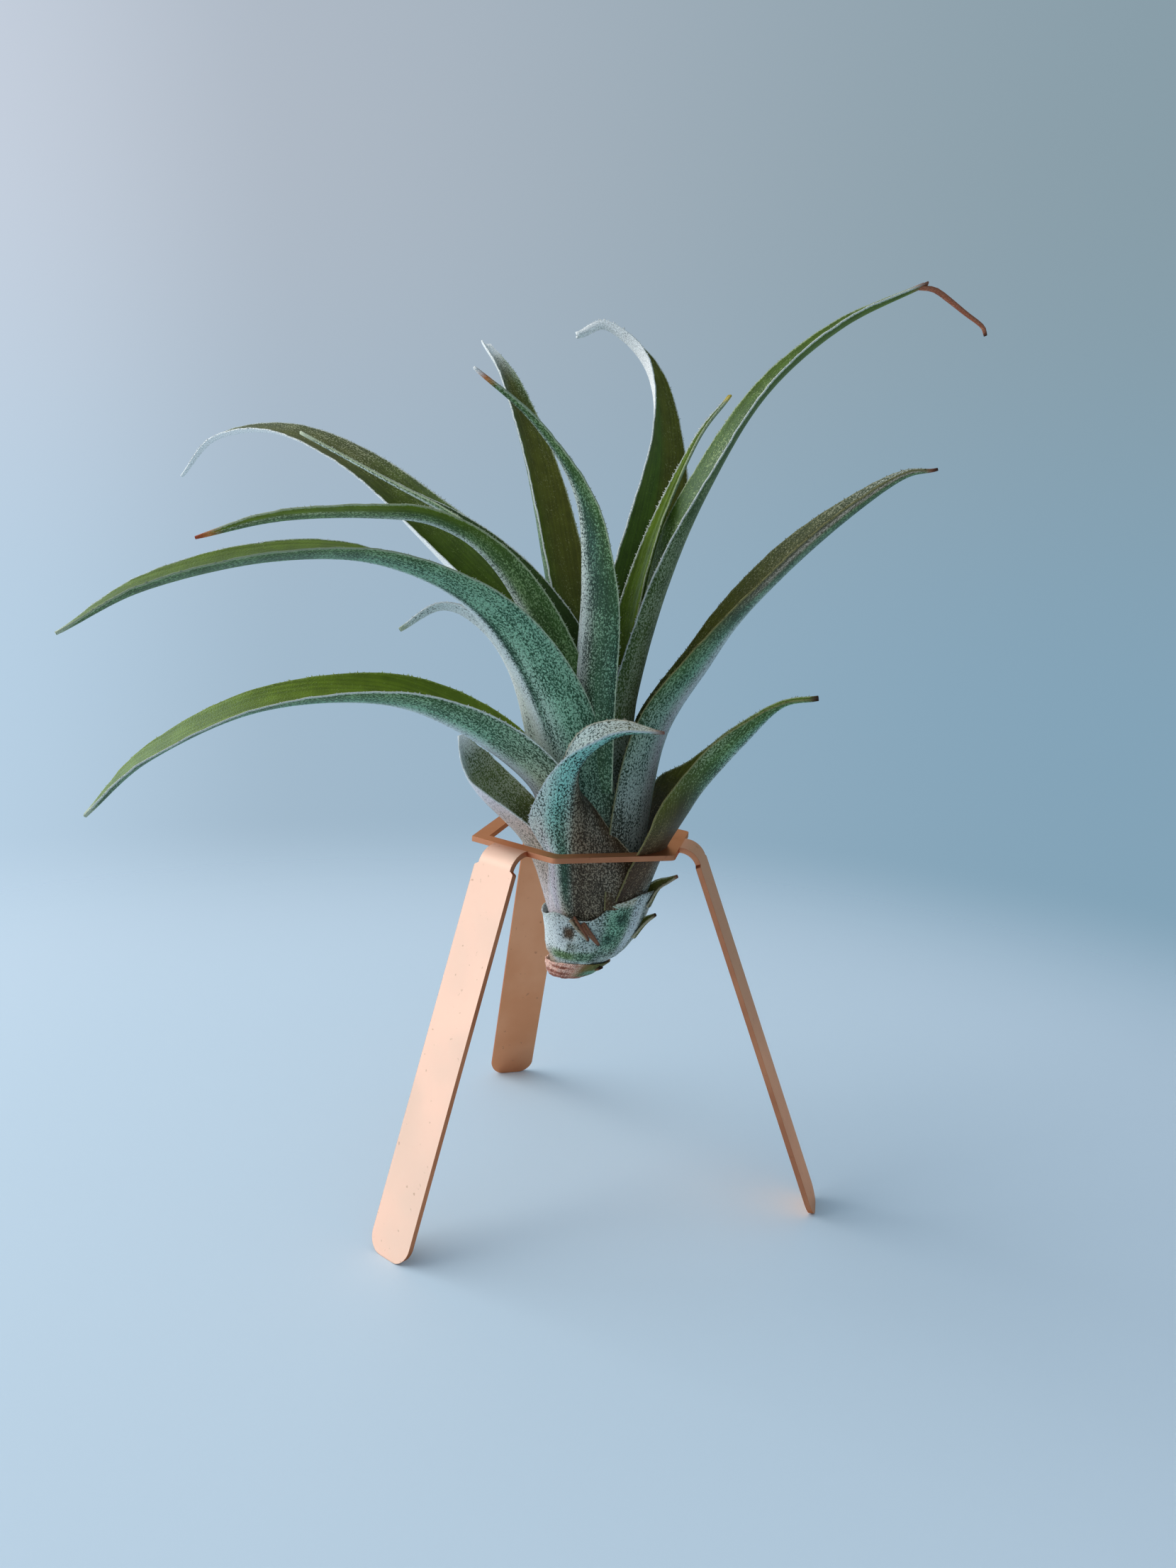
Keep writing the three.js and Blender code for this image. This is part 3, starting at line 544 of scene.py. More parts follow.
class Shape:
    """Points, faces and skin of one piece, joined up from several surfaces."""

    def __init__(self):
        self.faces, self.surfaces, self.count = [], [], 0

    def add(self, points, faces, tissue, coat, flat):
        """Tissue is a colour and how much is covered, coat a colour and the distance from the margin."""
        self.faces += [tuple(int(i) + self.count for i in face) for face in faces]
        self.surfaces.append([layer.reshape(-1, layer.shape[-1]) for layer in (points, tissue, coat, flat)])
        self.count += len(self.surfaces[-1][0])

    def make(self, name, material):
        points, tissue, coat, flat = (np.vstack(layer) for layer in zip(*self.surfaces))
        mesh = bpy.data.meshes.new(name)
        mesh.from_pydata(((points + STAND_AT) * MM).tolist(), [], self.faces)
        for layer, values in (("tissue", tissue), ("coat", coat)):
            attribute = mesh.color_attributes.new(layer, "FLOAT_COLOR", "POINT")
            attribute.data.foreach_set("color", values.astype(np.float32).ravel())
        corners = np.zeros(len(mesh.loops), np.int32)
        mesh.loops.foreach_get("vertex_index", corners)
        mesh.uv_layers.new(name="leaf_mm").data.foreach_set("uv", flat[corners].astype(np.float32).ravel())
        mesh.polygons.foreach_set("use_smooth", [True] * len(mesh.polygons))
        mesh.materials.append(material)
        return link(name, mesh)


def put(obj, node):
    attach(obj, "root")
    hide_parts(node)


def put_shape(shape, node, slot):
    put(shape.make(node + "_skin", MATERIALS[slot]), node)


def wall_faces(loops, count):
    """Quads between closed loops of count points."""
    faces = []
    for low in range(0, (loops - 1) * count, count):
        for i in range(count):
            j = (i + 1) % count
            faces.append((low + i, low + j, low + count + j, low + count + i))
    return faces


def loft_faces(loops, count):
    """Quads between closed loops, and both ends closed across the loop's two halves."""
    faces = wall_faces(loops, count)
    last = (loops - 1) * count
    for i in range(count // 2 - 1):
        j = count - 1 - i
        faces.append((i, j, j - 1, i + 1))
        faces.append((last + i, last + i + 1, last + j - 1, last + j))
    return faces


def blade_at(leaf, s):
    """The keel's points and the directions across, up and along at s."""
    outward, sideways = heading(math.radians(leaf["azimuth"]))

    def keel(s):
        return blend(leaf["path"], s) @ np.array([outward, sideways, (0, 0, 1)]) + (*PLANT_AT, 0)

    nudge = 1e-3
    along = unit(keel(np.minimum(s + nudge, 1)) - keel(np.maximum(s - nudge, 0)))
    flat = unit(sideways - (along @ sideways)[:, None] * along)
    inner = np.cross(along, flat)
    roll = np.radians(blend(leaf["roll"], s))[:, None]
    across = flat * np.cos(roll) + inner * np.sin(roll)
    return keel(s), across, np.cross(along, across), along


def blade_section(leaf, s, u):
    """Half width, slope, sideways place and rise of a blade's middle surface at s and u."""
    half, fold = (
        np.where(u > 0, blend(leaf.get("far_" + key, leaf[key]), s)[:, None], blend(leaf[key], s)[:, None])
        for key in ("half", "fold")
    )
    fold = np.radians(fold)
    crease = (ROOT_CREASE + (TIP_CREASE - ROOT_CREASE) * s)[:, None]
    slope = fold * (crease + (1 - crease) * np.abs(u))
    spread = half / (fold * (1 - crease))
    lateral = np.sign(u) * spread * (np.sin(slope) - np.sin(fold * crease))
    return half, slope, lateral, spread * (np.cos(fold * crease) - np.cos(slope))


def skin_of(leaf, face, s, u):
    """Tissue, coat and cover on one face of a blade."""
    rows = []
    for names in leaf[face].values():
        along = np.array([skin_values(name) for name in names.split()])
        rows.append([np.interp(s, np.linspace(0, 1, len(along)), value) for value in along.T])
    skin = np.stack([
        [np.interp(across, list(leaf[face]), stations) for across, stations in zip(u, value.T)]
        for value in np.array(rows).transpose(1, 0, 2)
    ], -1)
    for where, place, width, start, end, name in leaf.get("marks", []):
        if where == face:
            begun = rise(start - MARK_FADE, start + MARK_FADE, s)
            ended = rise(end - MARK_FADE, end + MARK_FADE, s)
            weight = (begun * (1 - ended))[:, None] * np.exp(-(((u - place) / width) ** 2))
            skin += weight[..., None] * (skin_values(name) - skin)
    return skin[..., :3], skin[..., 3:6], skin[..., 6]


def add_blade(shape, leaf, rng, fringe=True):
    """A leaf's blade, with fine waves in its margins and ribs along it, and scales along its margins."""
    rough = np.linspace(0, 1, 60)
    stretch = np.linalg.norm(np.diff(blade_at(leaf, rough)[0], axis=0), axis=1)
    length = stretch.sum()
    n = max(int(length / STATION), 8) + 1
    s = np.linspace(0, 1, n)
    far = np.interp(s, rough, np.concatenate([[0], np.cumsum(stretch)]))
    u = np.sin(np.linspace(-1, 1, ACROSS + 1) * math.pi / 2)[None, :] * np.ones((n, 1))
    centre, across, up, _ = blade_at(leaf, s)
    half, slope, lateral, height = blade_section(leaf, s, u)

    phases = rng.uniform(0, 2 * math.pi, (2, 3))
    wave, other = (
        sum(np.sin(far * 2 * math.pi / wavelength + phase) for wavelength, phase in zip(*margin))[:, None]
        for margin in zip(WAVELENGTHS, phases)
    )
    ending = (1 - rise(FLAT_FROM, 1, s))[:, None] * rise(0, 1, half / FULL_RELIEF_AT)
    waving = WAVE_HEIGHT * ending * np.where(u > 0, wave, other) * np.abs(u) ** 3
    ribs = RIB_HEIGHT * ending * np.sin(u * half * 2 * math.pi / RIB_SPACING + 0.4 * wave)

    soft_sign = np.tanh(u / KEEL_ROUNDING)
    keel_thickness = (BASE_THICKNESS + (TIP_THICKNESS - BASE_THICKNESS) * s)[:, None]
    thickness = MARGIN_THICKNESS + (keel_thickness - MARGIN_THICKNESS) * (1 - u * u)
    thickness = np.minimum(thickness, 1.1 * half + 0.1)
    margin = (1 - np.abs(u)) * half
    near = RIM_SHARE * (1 - rise(0, RIM_TINT, margin))[..., None]
    rim = np.where((u > 0)[..., None], linear(leaf["rims"][1]), linear(leaf["rims"][0]))
    sides = []
    for face, name, ribbed, pattern_at in ((1, "inner", 1, 0), (-1, "outer", 0.4, OUTER_PATTERN_AT)):
        offset = face * thickness / 2 + waving + ribs * ribbed
        points = (
            centre[:, None, :]
            + (lateral - offset * soft_sign * np.sin(slope))[..., None] * across[:, None, :]
            + (height + offset * np.cos(slope))[..., None] * up[:, None, :]
        )
        tissue, coat, cover = skin_of(leaf, name, s, u)
        coat = coat + near * (rim - coat)
        # A tip's colour: dry brown, or white that is partly painted highlight.
        for start, colour in leaf["tips"]:
            dry = rise(start - TIP_FADE, min(start + TIP_FADE, 1.0), s)[:, None, None]
            tissue, coat = tissue + dry * (linear(colour) - tissue), coat + dry * (linear(colour) - coat)
        flat = np.stack([u * half + pattern_at, far[:, None] * np.ones_like(u)], -1)
        layers = points, np.dstack((tissue, cover)), np.dstack((coat, margin)), flat
        sides.append([layer[:, ::face] for layer in layers])
    points, tissue, coat, flat = (np.concatenate(pair, 1)[:, ::-1] for pair in zip(*sides))
    shape.add(points, loft_faces(n, points.shape[1]), tissue, coat, flat)
    if fringe:
        add_fringe(shape, leaf, length, rng)


def add_fringe(shape, leaf, length, rng):
    """Small pointed scales along both margins, leaning towards the tip."""
    count = int(length * FRINGE_PER_MM)
    for side, colour in zip((-1, 1), leaf["rims"]):
        rim = linear(colour)
        s = np.sort(rng.uniform(*FRINGE_SPAN, count))
        u = np.full((count, 1), float(side))
        centre, across, up, along = blade_at(leaf, s)
        _, slope, lateral, height = blade_section(leaf, s, u)
        root = centre + lateral * across + height * up
        outward = side * np.cos(slope) * across + np.sin(slope) * up
        normal = -side * np.sin(slope) * across + np.cos(slope) * up
        size = rng.uniform(*FRINGE_SIZES, (count, 1))
        lean = rng.normal(*FRINGE_LEAN, (count, 1))
        tilt = rng.normal(*FRINGE_TILT, (count, 1))
        tips = root + FRINGE_LENGTH * size * unit(outward + lean * along + tilt * normal)
        base = root - FRINGE_ROOT * outward
        wide = FRINGE_WIDTH / 2 * np.sqrt(size)
        deep = MARGIN_THICKNESS / 3
        low = base - wide * along
        corners = [base + wide * along, low + deep * normal, low - deep * normal, tips]
        points = np.stack(corners, 1).reshape(-1, 3)
        faces = [
            (i + a, i + b, i + c) if side > 0 else (i + a, i + c, i + b)
            for i in range(0, 4 * count, 4)
            for a, b, c in SCALE_FACES
        ]
        shade = np.repeat(rng.uniform(*FRINGE_SHADES, (count, 1)), 4, 0)
        tissue = np.hstack([rim * shade, np.ones((4 * count, 1))])
        coat = np.hstack([rim * shade, np.zeros((4 * count, 1))])
        shape.add(points, faces, tissue, coat, points[:, [0, 2]])


def stem_line(z):
    return PLANT_AT[0] - CURVE * np.maximum(CURVE_BELOW - z, 0) ** 2


def add_turned(shape, rows, paint):
    """A body turned about the curved stem line. Rows are heights and radii round it, and the first
    and the last row are drawn in to a point."""
    turn = np.linspace(-math.pi, math.pi, SIDES, endpoint=False)
    heights, radii = (np.array([np.broadcast_to(row[k], SIDES) for row in rows], float) for k in (0, 1))
    x, y = stem_line(heights) + radii * np.cos(turn), PLANT_AT[1] + radii * np.sin(turn)
    faces = wall_faces(len(rows), SIDES)
    faces.append(tuple(range(SIDES))[::-1])
    faces.append(tuple((len(rows) - 1) * SIDES + i for i in range(SIDES)))
    tissue, coat = paint(np.broadcast_to(turn, heights.shape), heights)
    per_turn, per_height = TURNED_PATTERN
    flat = np.stack([np.broadcast_to(turn * per_turn, heights.shape), heights * per_height], -1)
    shape.add(np.stack([x, y, heights], -1), faces, tissue, coat, flat)


def cup_rows(cup, relief):
    """Rows of an open cup of sheaths with a waved rim, outside and then inside."""
    share = np.arange(SIDES) / SIDES
    turn = -math.pi + 2 * math.pi * share
    rim = blend([*cup["rim"], cup["rim"][0]], share)
    heights, radii = np.array(cup["outline"], float).T
    bottom, low = heights[0], heights[0] + cup["wall"]
    rows = [(bottom, END_RADIUS)]
    for level in range(CUP_LEVELS + 1):
        z = bottom + (rim - bottom) * level / CUP_LEVELS
        rows.append((z, np.interp(z, heights, radii) + relief(turn, z)))
    for level in range(CUP_LEVELS, -1, -1):
        z = low + (rim - low) * level / CUP_LEVELS
        wall = cup["wall"] * (1 - RIM_THINNING * level / CUP_LEVELS)
        rows.append((z, np.interp(z, heights, radii) - wall + relief(turn, z)))
    rows.append((low, END_RADIUS))
    return rows


def painter(ground, marks=()):
    """Skin for a turned body: the skin of its ground, and its marks."""

    def paint(turn, z):
        skin = skin_values(ground) * np.ones_like(z)[..., None]
        for at, height, wide, tall, name in marks:
            apart = (np.degrees(turn) - at + 180) % 360 - 180
            weight = np.exp(-((apart / wide) ** 4) - ((z - height) / tall) ** 4)
            skin = skin + weight[..., None] * (skin_values(name) - skin)
        return skin[..., [0, 1, 2, 6]], np.dstack((skin[..., 3:6], FAR_FROM_MARGIN * np.ones_like(z)))

    return paint


class Nodes:
    """Short calls for building a material's nodes."""

    def __init__(self, material):
        material.use_nodes = True
        self.tree = material.node_tree
        self.tree.nodes.clear()

    def add(self, kind, settings=None, **inputs):
        node = self.tree.nodes.new(kind)
        for key, value in (settings or {}).items():
            setattr(node, key, value)
        for key, value in inputs.items():
            self.set(node, key.replace("_", " "), value)
        return node

    def set(self, node, key, value):
        socket = node.inputs[int(key)] if key.isdigit() else node.inputs[key]
        if isinstance(value, bpy.types.NodeSocket):
            self.tree.links.new(value, socket)
        else:
            socket.default_value = value

    def math(self, operation, a, b):
        return self.add("ShaderNodeMath", {"operation": operation}, **{"0": a, "1": b}).outputs[0]

    def plus(self, a, b):
        return self.math("ADD", a, b)

    def times(self, a, b):
        return self.math("MULTIPLY", a, b)

    def remap(self, value, low, high, to_low=0.0, to_high=1.0, smooth=True):
        node = self.add("ShaderNodeMapRange", {"interpolation_type": "SMOOTHSTEP" if smooth else "LINEAR"})
        keys = ("Value", "From Min", "From Max", "To Min", "To Max")
        for key, item in zip(keys, (value, low, high, to_low, to_high)):
            self.set(node, key, item)
        return node.outputs[0]

    def mix(self, factor, a, b, blend_type="MIX"):
        settings = {"data_type": "RGBA", "blend_type": blend_type}
        return self.add("ShaderNodeMix", settings, **{"0": factor, "6": a, "7": b}).outputs[2]

    def noise(self, vector, scale, detail=2.0, roughness=0.5, dimensions="2D"):
        """Noise of one scale, or of a pair of scales, across and along."""
        if isinstance(scale, tuple):
            vector, scale = self.stretched(vector, scale), 1.0
        inputs = {"Vector": vector, "Scale": scale, "Detail": detail, "Roughness": roughness}
        return self.add("ShaderNodeTexNoise", {"noise_dimensions": dimensions}, **inputs).outputs["Fac"]

    def clouds(self, vector, scale, detail, low, high):
        """Noise drawn out to run from low to high."""
        return self.remap(self.noise(vector, scale, detail), *NOISE_SPAN, low, high)

    def stretched(self, vector, scale):
        return self.add("ShaderNodeMapping", Vector=vector, Scale=(*scale, 1)).outputs[0]

    def relief(self, strength, depth, height):
        """A bump of so many millimetres."""
        return self.add("ShaderNodeBump", Strength=strength, Distance=depth * MM, Height=height).outputs[0]

    def finish(self, shader, kind="ShaderNodeOutputMaterial"):
        self.add(kind, Surface=shader.outputs[0])


def skin_material(name, roughness, specular, sheen, bump):
    """Leaf tissue under a coat of fine scales, both painted on the mesh. The scales are a few tenths
    of a millimetre wide, run a little along the leaf, and close up where the coat is thick."""
    material = bpy.data.materials.new(name)
    nodes = Nodes(material)
    tissue = nodes.add("ShaderNodeAttribute", {"attribute_name": "tissue"})
    coat = nodes.add("ShaderNodeAttribute", {"attribute_name": "coat"})
    place = nodes.add("ShaderNodeUVMap", {"uv_map": "leaf_mm"}).outputs["UV"]
    cover, margin = tissue.outputs["Alpha"], coat.outputs["Alpha"]

    flecks = nodes.remap(nodes.noise(place, (2.9, 1.9), 2.5, 0.6), *NOISE_SPAN, smooth=False)
    cells = nodes.add("ShaderNodeTexVoronoi", {"voronoi_dimensions": "2D", "feature": "F1"}, Scale=1.0)
    nodes.set(cells, "Vector", nodes.stretched(place, (3.6, 2.7)))
    scales = nodes.remap(cells.outputs["Distance"], 0.75, 0.1, smooth=False)
    patches = nodes.clouds(place, 0.21, 3.0, -0.08, 0.08)
    streaks = nodes.clouds(place, (0.9, 0.06), 3.0, -0.08, 0.08)
    pattern = nodes.plus(nodes.times(flecks, 0.6), nodes.times(scales, 0.4))
    amount = nodes.plus(nodes.plus(cover, patches), streaks)
    covered = nodes.remap(nodes.plus(pattern, amount), *COVER_SPAN)
    rim = nodes.remap(nodes.plus(margin, nodes.times(flecks, -0.3)), RIM_LINE, 0.0)
    covered = nodes.math("MAXIMUM", covered, nodes.times(rim, 0.9))

    ribs = nodes.remap(nodes.noise(place, (2.2, 0.03)), 0.35, 0.65, 0.86, 1.1)
    shade = nodes.times(ribs, nodes.clouds(place, 0.3, 2.0, 0.88, 1.12))
    under = nodes.mix(1.0, tissue.outputs["Color"], shade, "MULTIPLY")
    over = nodes.mix(1.0, coat.outputs["Color"], nodes.clouds(place, (4.2, 3.4), 2.0, 0.74, 1.12), "MULTIPLY")
    height = nodes.plus(nodes.times(covered, 0.7), nodes.times(scales, 0.5))

    shader = nodes.add("ShaderNodeBsdfPrincipled", Normal=nodes.relief(bump, SCALE_RELIEF, height))
    nodes.set(shader, "Base Color", nodes.mix(covered, under, over))
    nodes.set(shader, "Roughness", nodes.remap(covered, 0, 1, roughness, COAT_ROUGHNESS, smooth=False))
    nodes.set(shader, "Sheen Weight", sheen)
    nodes.set(shader, "Sheen Roughness", 0.5)
    nodes.set(shader, "Specular IOR Level", specular)
    nodes.finish(shader)
    return material


def copper_material(name, colour_of, roughness):
    """Satin copper with a fine grain, faint clouding and small pits."""
    material = bpy.data.materials.new(name)
    nodes = Nodes(material)
    place = nodes.add("ShaderNodeTexCoord").outputs["Object"]
    cloud = nodes.noise(place, 90.0, 3.0, dimensions="3D")
    grain = nodes.noise(place, 5200.0, 2.0, dimensions="3D")
    pits = nodes.remap(nodes.noise(place, 900.0, 1.0, dimensions="3D"), 0.7, 0.78)
    colour = colour_of(nodes, nodes.remap(cloud, *NOISE_SPAN))
    height = nodes.math("SUBTRACT", grain, nodes.times(pits, 2.0))
    shader = nodes.add("ShaderNodeBsdfPrincipled", Metallic=1.0, Normal=nodes.relief(0.25, 0.02, height))
    nodes.set(shader, "Base Color", nodes.mix(nodes.times(pits, 0.4), colour, PIT_COLOUR))
    nodes.set(shader, "Specular Tint", COPPER_TINT)
    nodes.set(shader, "Roughness", nodes.remap(cloud, *NOISE_SPAN, roughness - 0.05, roughness + 0.05))
    nodes.finish(shader)
    return material


def sheet_colour(nodes, cloud):
    """Pale on the legs' outer sides, a painted reflection of the window, and darker and redder on the ring
    and on their inner sides, painted shade.
    """
    side = nodes.add("ShaderNodeAttribute", {"attribute_name": "side"}).outputs["Fac"]
    return nodes.mix(side, nodes.mix(cloud, *SHEET_INNER_PAINTED_SHADE), nodes.mix(cloud, *SHEET_OUTER_PAINTED_LIT))


# The cut edges get a darker, redder copper: painted shade.
def edge_colour(nodes, cloud):
    return nodes.mix(cloud, *CUT_EDGE_PAINTED_SHADE)


def ring_outline(inset):
    """The ring's outline as points, corner by corner, drawn in from its outer edge. On a side that
    carries a leg two more points mark the leg's neck."""
    sides = []
    for leg in LEGS:
        sides.append((math.radians(leg["azimuth"]), LEG_SIDE_AT - inset))
        sides.append((math.radians(leg["azimuth"] + CORNER_TURN), PLAIN_SIDE_AT - inset))
    corners = []
    for i, (normal, distance) in enumerate(sides):
        next_normal, next_distance = sides[(i + 1) % len(sides)]
        turn = next_normal - normal
        drift = (next_distance - distance * math.cos(turn)) / math.sin(turn)
        outward, edge = heading(normal)
        corners.append(distance * outward + drift * edge)
    points, necks = [], []
    for i, corner in enumerate(corners):
        if i % 2 == 0:
            normal, distance = sides[i]
            outward, edge = heading(normal)
            necks.append(len(points))
            points += [distance * outward + end * edge for end in (-NECK_WIDTH / 2, NECK_WIDTH / 2)]
        radius = SHARP_CORNER_RADIUS if i == SHARP_CORNER else CORNER_RADIUS
        cut = radius * math.tan(math.radians(CORNER_TURN / 2))
        start = corner + cut * unit(corners[i - 1] - corner)
        end = corner + cut * unit(corners[(i + 1) % len(corners)] - corner)
        for t in np.linspace(0, 1, CORNER_STEPS + 1):
            points.append((1 - t) ** 2 * start + 2 * t * (1 - t) * corner + t**2 * end)
    return points, necks


def leg_stations(leg):
    """Loops of four points from the bend's start to the foot: inner pair, then outer pair."""
    lower = leg["reach"] - LEG_SIDE_AT - BEND_RADIUS * math.tan(math.radians(BEND_TURN / 2))
    turn = math.atan2(RING_TOP, lower)
    bend_centre = RING_TOP - BEND_RADIUS

    def bend(radius, beta):
        return np.array([LEG_SIDE_AT + radius * math.sin(beta), bend_centre + radius * math.cos(beta)])

    neck = NECK_WIDTH / 2
    stations = [
        (bend(BEND_RADIUS, beta), bend(BEND_RADIUS - SHEET, beta), neck)
        for beta in np.linspace(0, turn, BEND_STEPS + 1)
    ]
    down = np.array([math.cos(turn), -math.sin(turn)])
    inward = np.array([-math.sin(turn), -math.cos(turn)]) * SHEET
    bend_end = bend(BEND_RADIUS, turn)
    for share in np.linspace(0, 1, FLARE_STEPS + 1)[1:]:
        half = neck + (LEG_WIDTH / 2 - neck) * math.sin(share * math.pi / 2)
        outer = bend_end + share * NECK_FLARE * down
        stations.append((outer, outer + inward, half))
    length = bend_end[1] / math.sin(turn)
    for far in np.linspace(NECK_FLARE, length - FOOT_CORNER, LEG_STEPS + 1)[1:]:
        outer = bend_end + far * down
        stations.append((outer, outer + inward, LEG_WIDTH / 2))
    foot_x = bend_end[0] + bend_end[1] / math.tan(turn)
    for angle in np.linspace(0, math.pi / 2, FOOT_STEPS + 1)[1:]:
        from_end = FOOT_CORNER * (1 - math.sin(angle))
        half = LEG_WIDTH / 2 - FOOT_CORNER + FOOT_CORNER * math.cos(angle)
        outer = np.array([foot_x - from_end * math.cos(turn), from_end * math.sin(turn)])
        inner = outer + np.array([-SHEET / math.sin(turn), 0])
        stations.append((outer, inner, half))
    outward, sideways = heading(math.radians(leg["azimuth"]))
    drift = leg["reach"] * math.tan(math.radians(leg["skew"])) / (leg["reach"] - LEG_SIDE_AT)
    return [
        [
            r * outward + (side + drift * (r - LEG_SIDE_AT)) * sideways + np.array([0, 0, z])
            for (r, z), side in ((inner, -half), (inner, half), (outer, half), (outer, -half))
        ]
        for outer, inner, half in stations
    ]


def make_stand():
    """Ring and legs as one sheet, with its cut edges rounded off."""
    outer, necks = ring_outline(0)
    inner, _ = ring_outline(RING_WIDTH)
    count = len(outer)
    points = [point + (0, 0, z) for z in (RING_TOP, RING_TOP - SHEET) for point in outer + inner]
    # 1 on the legs' outer faces, which get the paler painted reflection; 0 on the ring and inner faces, which
    # get the painted shade
    side = [0.0] * 4 * count
    outer_top, inner_top, outer_low, inner_low = 0, count, 2 * count, 3 * count
    sheet, edges = [], []
    for i in range(count):
        j = (i + 1) % count
        sheet.append((outer_top + i, outer_top + j, inner_top + j, inner_top + i))
        sheet.append((outer_low + j, outer_low + i, inner_low + i, inner_low + j))
        edges.append((inner_top + i, inner_top + j, inner_low + j, inner_low + i))
        if i not in necks:
            edges.append((outer_top + j, outer_top + i, outer_low + i, outer_low + j))
    for leg, start in zip(LEGS, necks):
        last = [outer_low + start, outer_low + start + 1, outer_top + start + 1, outer_top + start]
        for loop in leg_stations(leg)[1:]:
            ring = [len(points) + i for i in range(4)]
            points += loop
            side += [0.0, 0.0, 1.0, 1.0]
            for i in range(4):
                j = (i + 1) % 4
                (edges if i % 2 else sheet).append((last[i], ring[i], ring[j], last[j]))
            last = ring
        edges.append(tuple(last[::-1]))
    mesh = bpy.data.meshes.new("stand_sheet")
    mesh.from_pydata(((np.array(points) + STAND_AT) * MM).tolist(), [], sheet + edges)
    mesh.attributes.new("side", "FLOAT", "POINT").data.foreach_set("value", side)
    # The sheet copper carries painted light: a paler painted reflection on the legs' outer faces, painted
    # shade on the ring and inner faces
    mesh.materials.append(copper_material("satin_copper_painted_light", sheet_colour, SHEET_ROUGHNESS))
    mesh.materials.append(copper_material("cut_copper_painted_shade", edge_colour, EDGE_ROUGHNESS))
    mesh.polygons.foreach_set("material_index", [0] * len(sheet) + [1] * len(edges))
    mesh.polygons.foreach_set("use_smooth", [True] * len(mesh.polygons))
    stand = link("stand_sheet", mesh)
    bevel = stand.modifiers.new("edges", "BEVEL")
    bevel.width = EDGE_ROUNDING * MM
    bevel.segments = 3
    bevel.limit_method = "ANGLE"
    bevel.angle_limit = math.radians(35)
    bevel.material = 1
    shading = stand.modifiers.new("shading", "WEIGHTED_NORMAL")
    shading.keep_sharp = True
    put(stand, "stand")


def make_leaves():
    for number, (name, leaf) in enumerate(LEAVES.items()):
        rng = np.random.default_rng(SEED + number)
        shape = Shape()
        add_blade(shape, leaf, rng)
        if "dead_tip" in leaf:
            add_blade(shape, leaf["dead_tip"], rng, fringe=False)
        put_shape(shape, name, leaf["slot"])


def ripples(waves, turn, z):
    return sum(height * np.sin(turn * around + z * upward) for height, around, upward in waves)


def cup_relief(turn, z):
    """The left sheath lies over the right one up to the seam, and has a dent."""
    apart = np.degrees(turn) - np.interp(z, SEAM["heights"], SEAM["turns"])
    raised = SEAM["step"] * (1 - rise(-2, 2, apart)) * rise(-70, -30, apart)
    at, height, wide, tall, depth = DENT
    dent = np.exp(-(((np.degrees(turn) - at) / wide) ** 2) - ((z - height) / tall) ** 2)
    return raised - depth * dent + ripples(CUP_RIPPLES, turn, z)


def paper_relief(turn, z):
    return ripples(PAPER_RIPPLES, turn, z)


def make_base():
    """The stem, the cup of old sheaths with its dry tips, the papery scale and the bract."""
    rng = np.random.default_rng(BASE_SEED)
    stem, cup, paper, bract = Shape(), Shape(), Shape(), Shape()
    heights, radii = np.array(STEM, float).T
    rows = [(z, np.interp(z, heights, radii)) for z in np.linspace(heights[0], heights[-1], STEM_LEVELS)]
    add_turned(stem, [(heights[0], END_RADIUS), *rows, (heights[-1], END_RADIUS)], painter("taupe"))
    add_turned(cup, cup_rows(CUP, cup_relief), painter("frost", CUP_MARKS))
    add_turned(paper, cup_rows(PAPER_CUP, paper_relief), painter("pink_paper", PAPER_MARKS))
    for shape, pieces in ((cup, [CUP_SPIKE, *ROLLED_MARGINS]), (paper, [PAPER_TIP]), (bract, [LOWER_BRACT])):
        for piece in pieces:
            add_blade(shape, piece, rng, fringe=False)
    put_shape(stem, "stem", "silver_leaf")
    put_shape(cup, "lower_sheath_cup", "silver_leaf")
    put_shape(paper, "papery_base_scale", "papery_scale")
    put_shape(bract, "lower_bract", "dry_scale")


def make_camera():
    camera = link("camera", bpy.data.cameras.new("camera"))
    camera.data.lens = LENS
    camera.data.sensor_width = SENSOR
    camera.data.clip_start = 0.01
    place = Matrix.Translation(MM * (Vector(CAMERA_AT) + Vector(STAND_AT)))
    for angle, axis in ((-CAMERA_YAW, "Z"), (math.pi / 2 - CAMERA_DOWN, "X"), (CAMERA_ROLL, "Z")):
        place = place @ Matrix.Rotation(angle, 4, axis)
    camera.matrix_world = place
    bpy.context.scene.camera = camera


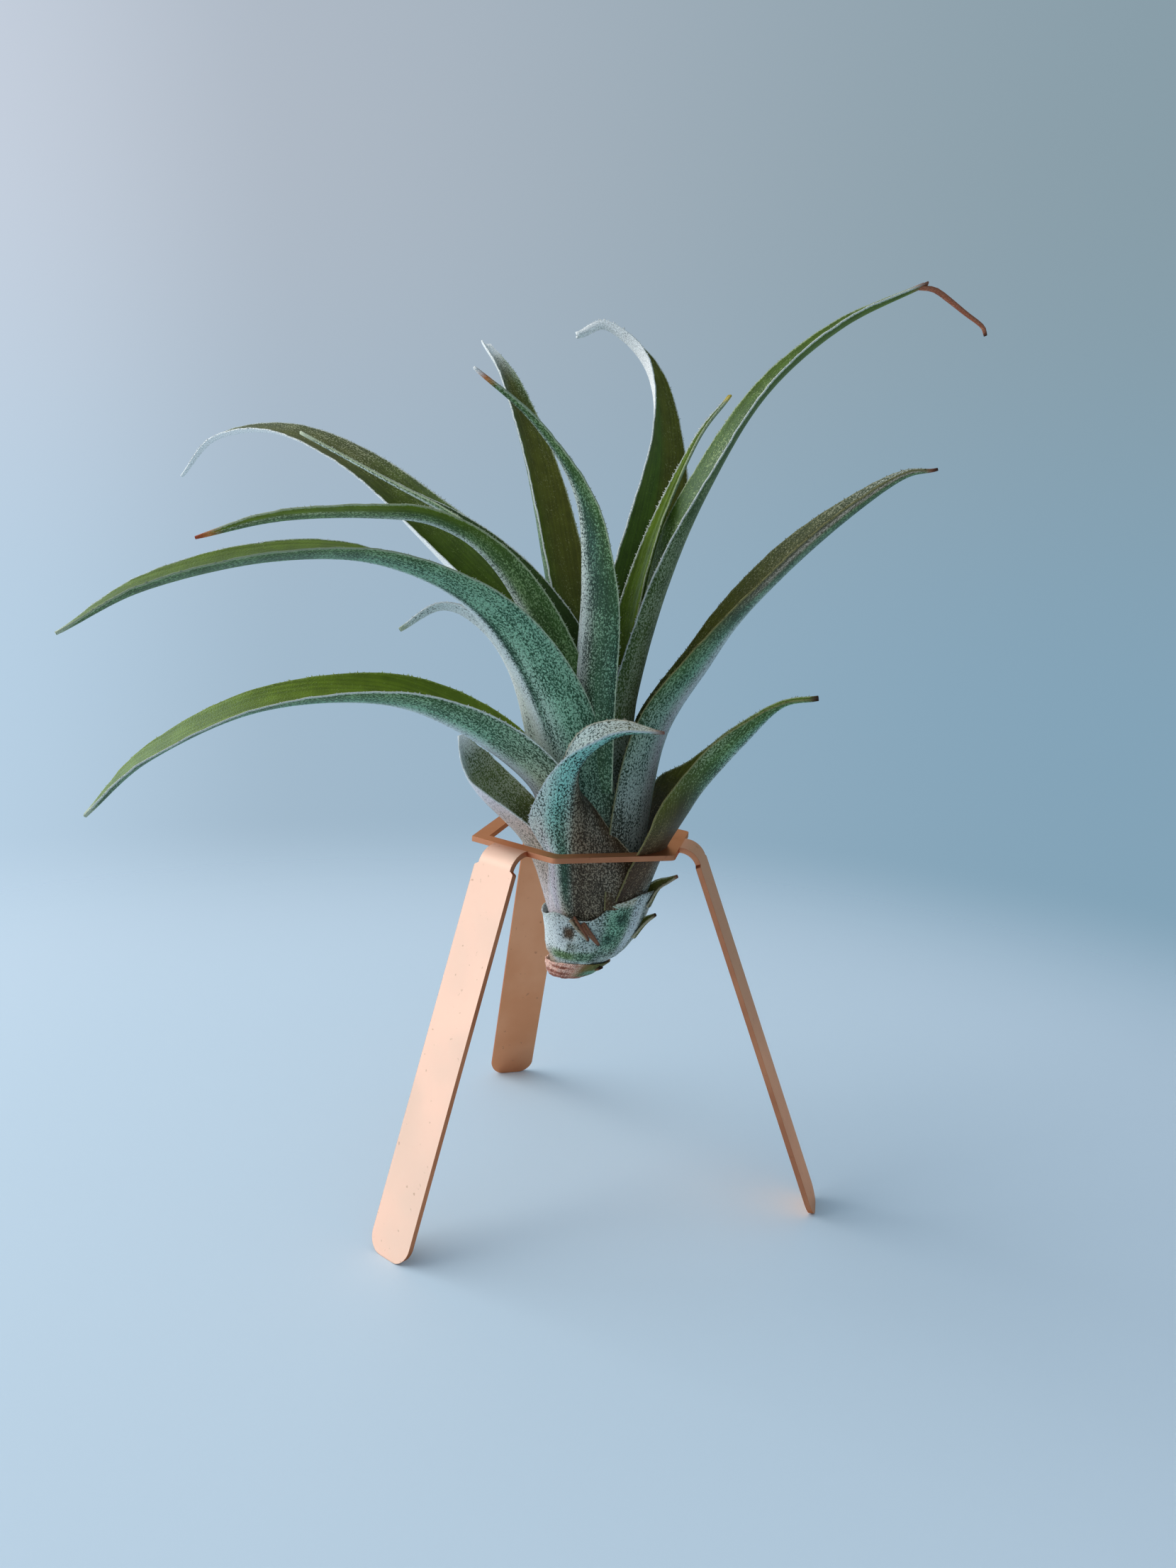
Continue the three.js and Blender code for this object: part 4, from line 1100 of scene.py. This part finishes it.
def make_floor():
    """A round pale floor that fades into the surroundings far from the object."""
    angles = [2 * math.pi * i / FLOOR_SIDES for i in range(FLOOR_SIDES)]
    points = [(FLOOR_RADIUS * math.cos(angle), FLOOR_RADIUS * math.sin(angle), 0) for angle in angles]
    mesh = bpy.data.meshes.new("floor")
    mesh.from_pydata(points, [], [tuple(range(FLOOR_SIDES))])
    floor = link("floor", mesh)
    material = bpy.data.materials.new("pale_paper")
    nodes = Nodes(material)
    place = nodes.add("ShaderNodeTexCoord").outputs["Object"]
    far = nodes.add("ShaderNodeVectorMath", {"operation": "LENGTH"}, **{"0": place}).outputs["Value"]
    grain = nodes.noise(place, 900.0, 2.0, dimensions="3D")
    paper = nodes.add("ShaderNodeBsdfPrincipled", Roughness=0.7, Normal=nodes.relief(0.05, 0.05, grain))
    nodes.set(paper, "Base Color", FLOOR_COLOUR)
    nodes.set(paper, "Specular IOR Level", 0.2)
    clear = nodes.add("ShaderNodeBsdfTransparent")
    fade = nodes.add("ShaderNodeMixShader")
    for key, value in enumerate((nodes.remap(far, *FLOOR_FADE), paper.outputs[0], clear.outputs[0])):
        nodes.set(fade, str(key), value)
    nodes.finish(fade)
    mesh.materials.append(material)


def window_light(name, watts, colour):
    light = bpy.data.lights.new(name, "AREA")
    light.shape = "RECTANGLE"
    light.size, light.size_y = WINDOW_SIZE
    light.energy = watts
    light.color = colour
    obj = link(name, light)
    obj.location = WINDOW_AT
    obj.rotation_euler = (Vector(WINDOW_TOWARDS) - Vector(WINDOW_AT)).to_track_quat("-Z", "Y").to_euler()
    return obj


def make_light():
    """Soft surroundings, and a window at the left in two lights: one that lights what is matt, and a
    bluer one that only shines."""
    world = bpy.data.worlds.new("surroundings")
    bpy.context.scene.world = world
    nodes = Nodes(world)
    direction = nodes.add("ShaderNodeTexCoord").outputs["Generated"]
    parts = nodes.add("ShaderNodeSeparateXYZ", Vector=direction).outputs
    to_right = nodes.remap(parts["X"], *LEFT_TO_RIGHT)
    lower, middle, upper = (nodes.mix(to_right, *pair) for pair in (LOWER, MIDDLE, UPPER))
    colour = nodes.mix(nodes.remap(parts["Z"], *LOWER_TO_MIDDLE), lower, middle)
    colour = nodes.mix(nodes.remap(parts["Z"], *MIDDLE_TO_UPPER), colour, upper)
    strength = nodes.remap(parts["X"], *LEFT_EDGE, 1.0, LEFT_EDGE_GLOW)
    nodes.finish(nodes.add("ShaderNodeBackground", Color=colour, Strength=strength), "ShaderNodeOutputWorld")
    window_light("window", WINDOW_WATTS, WINDOW_COLOUR).visible_glossy = False
    window_light("window_reflection", REFLECTION_WATTS, REFLECTION_COLOUR).visible_diffuse = False
    bpy.context.scene.view_settings.view_transform = "Standard"


make_camera()
make_floor()
make_light()
MATERIALS = {slot: skin_material(slot + "_skin", *finish) for slot, finish in FINISHES.items()}
make_stand()
make_leaves()
make_base()
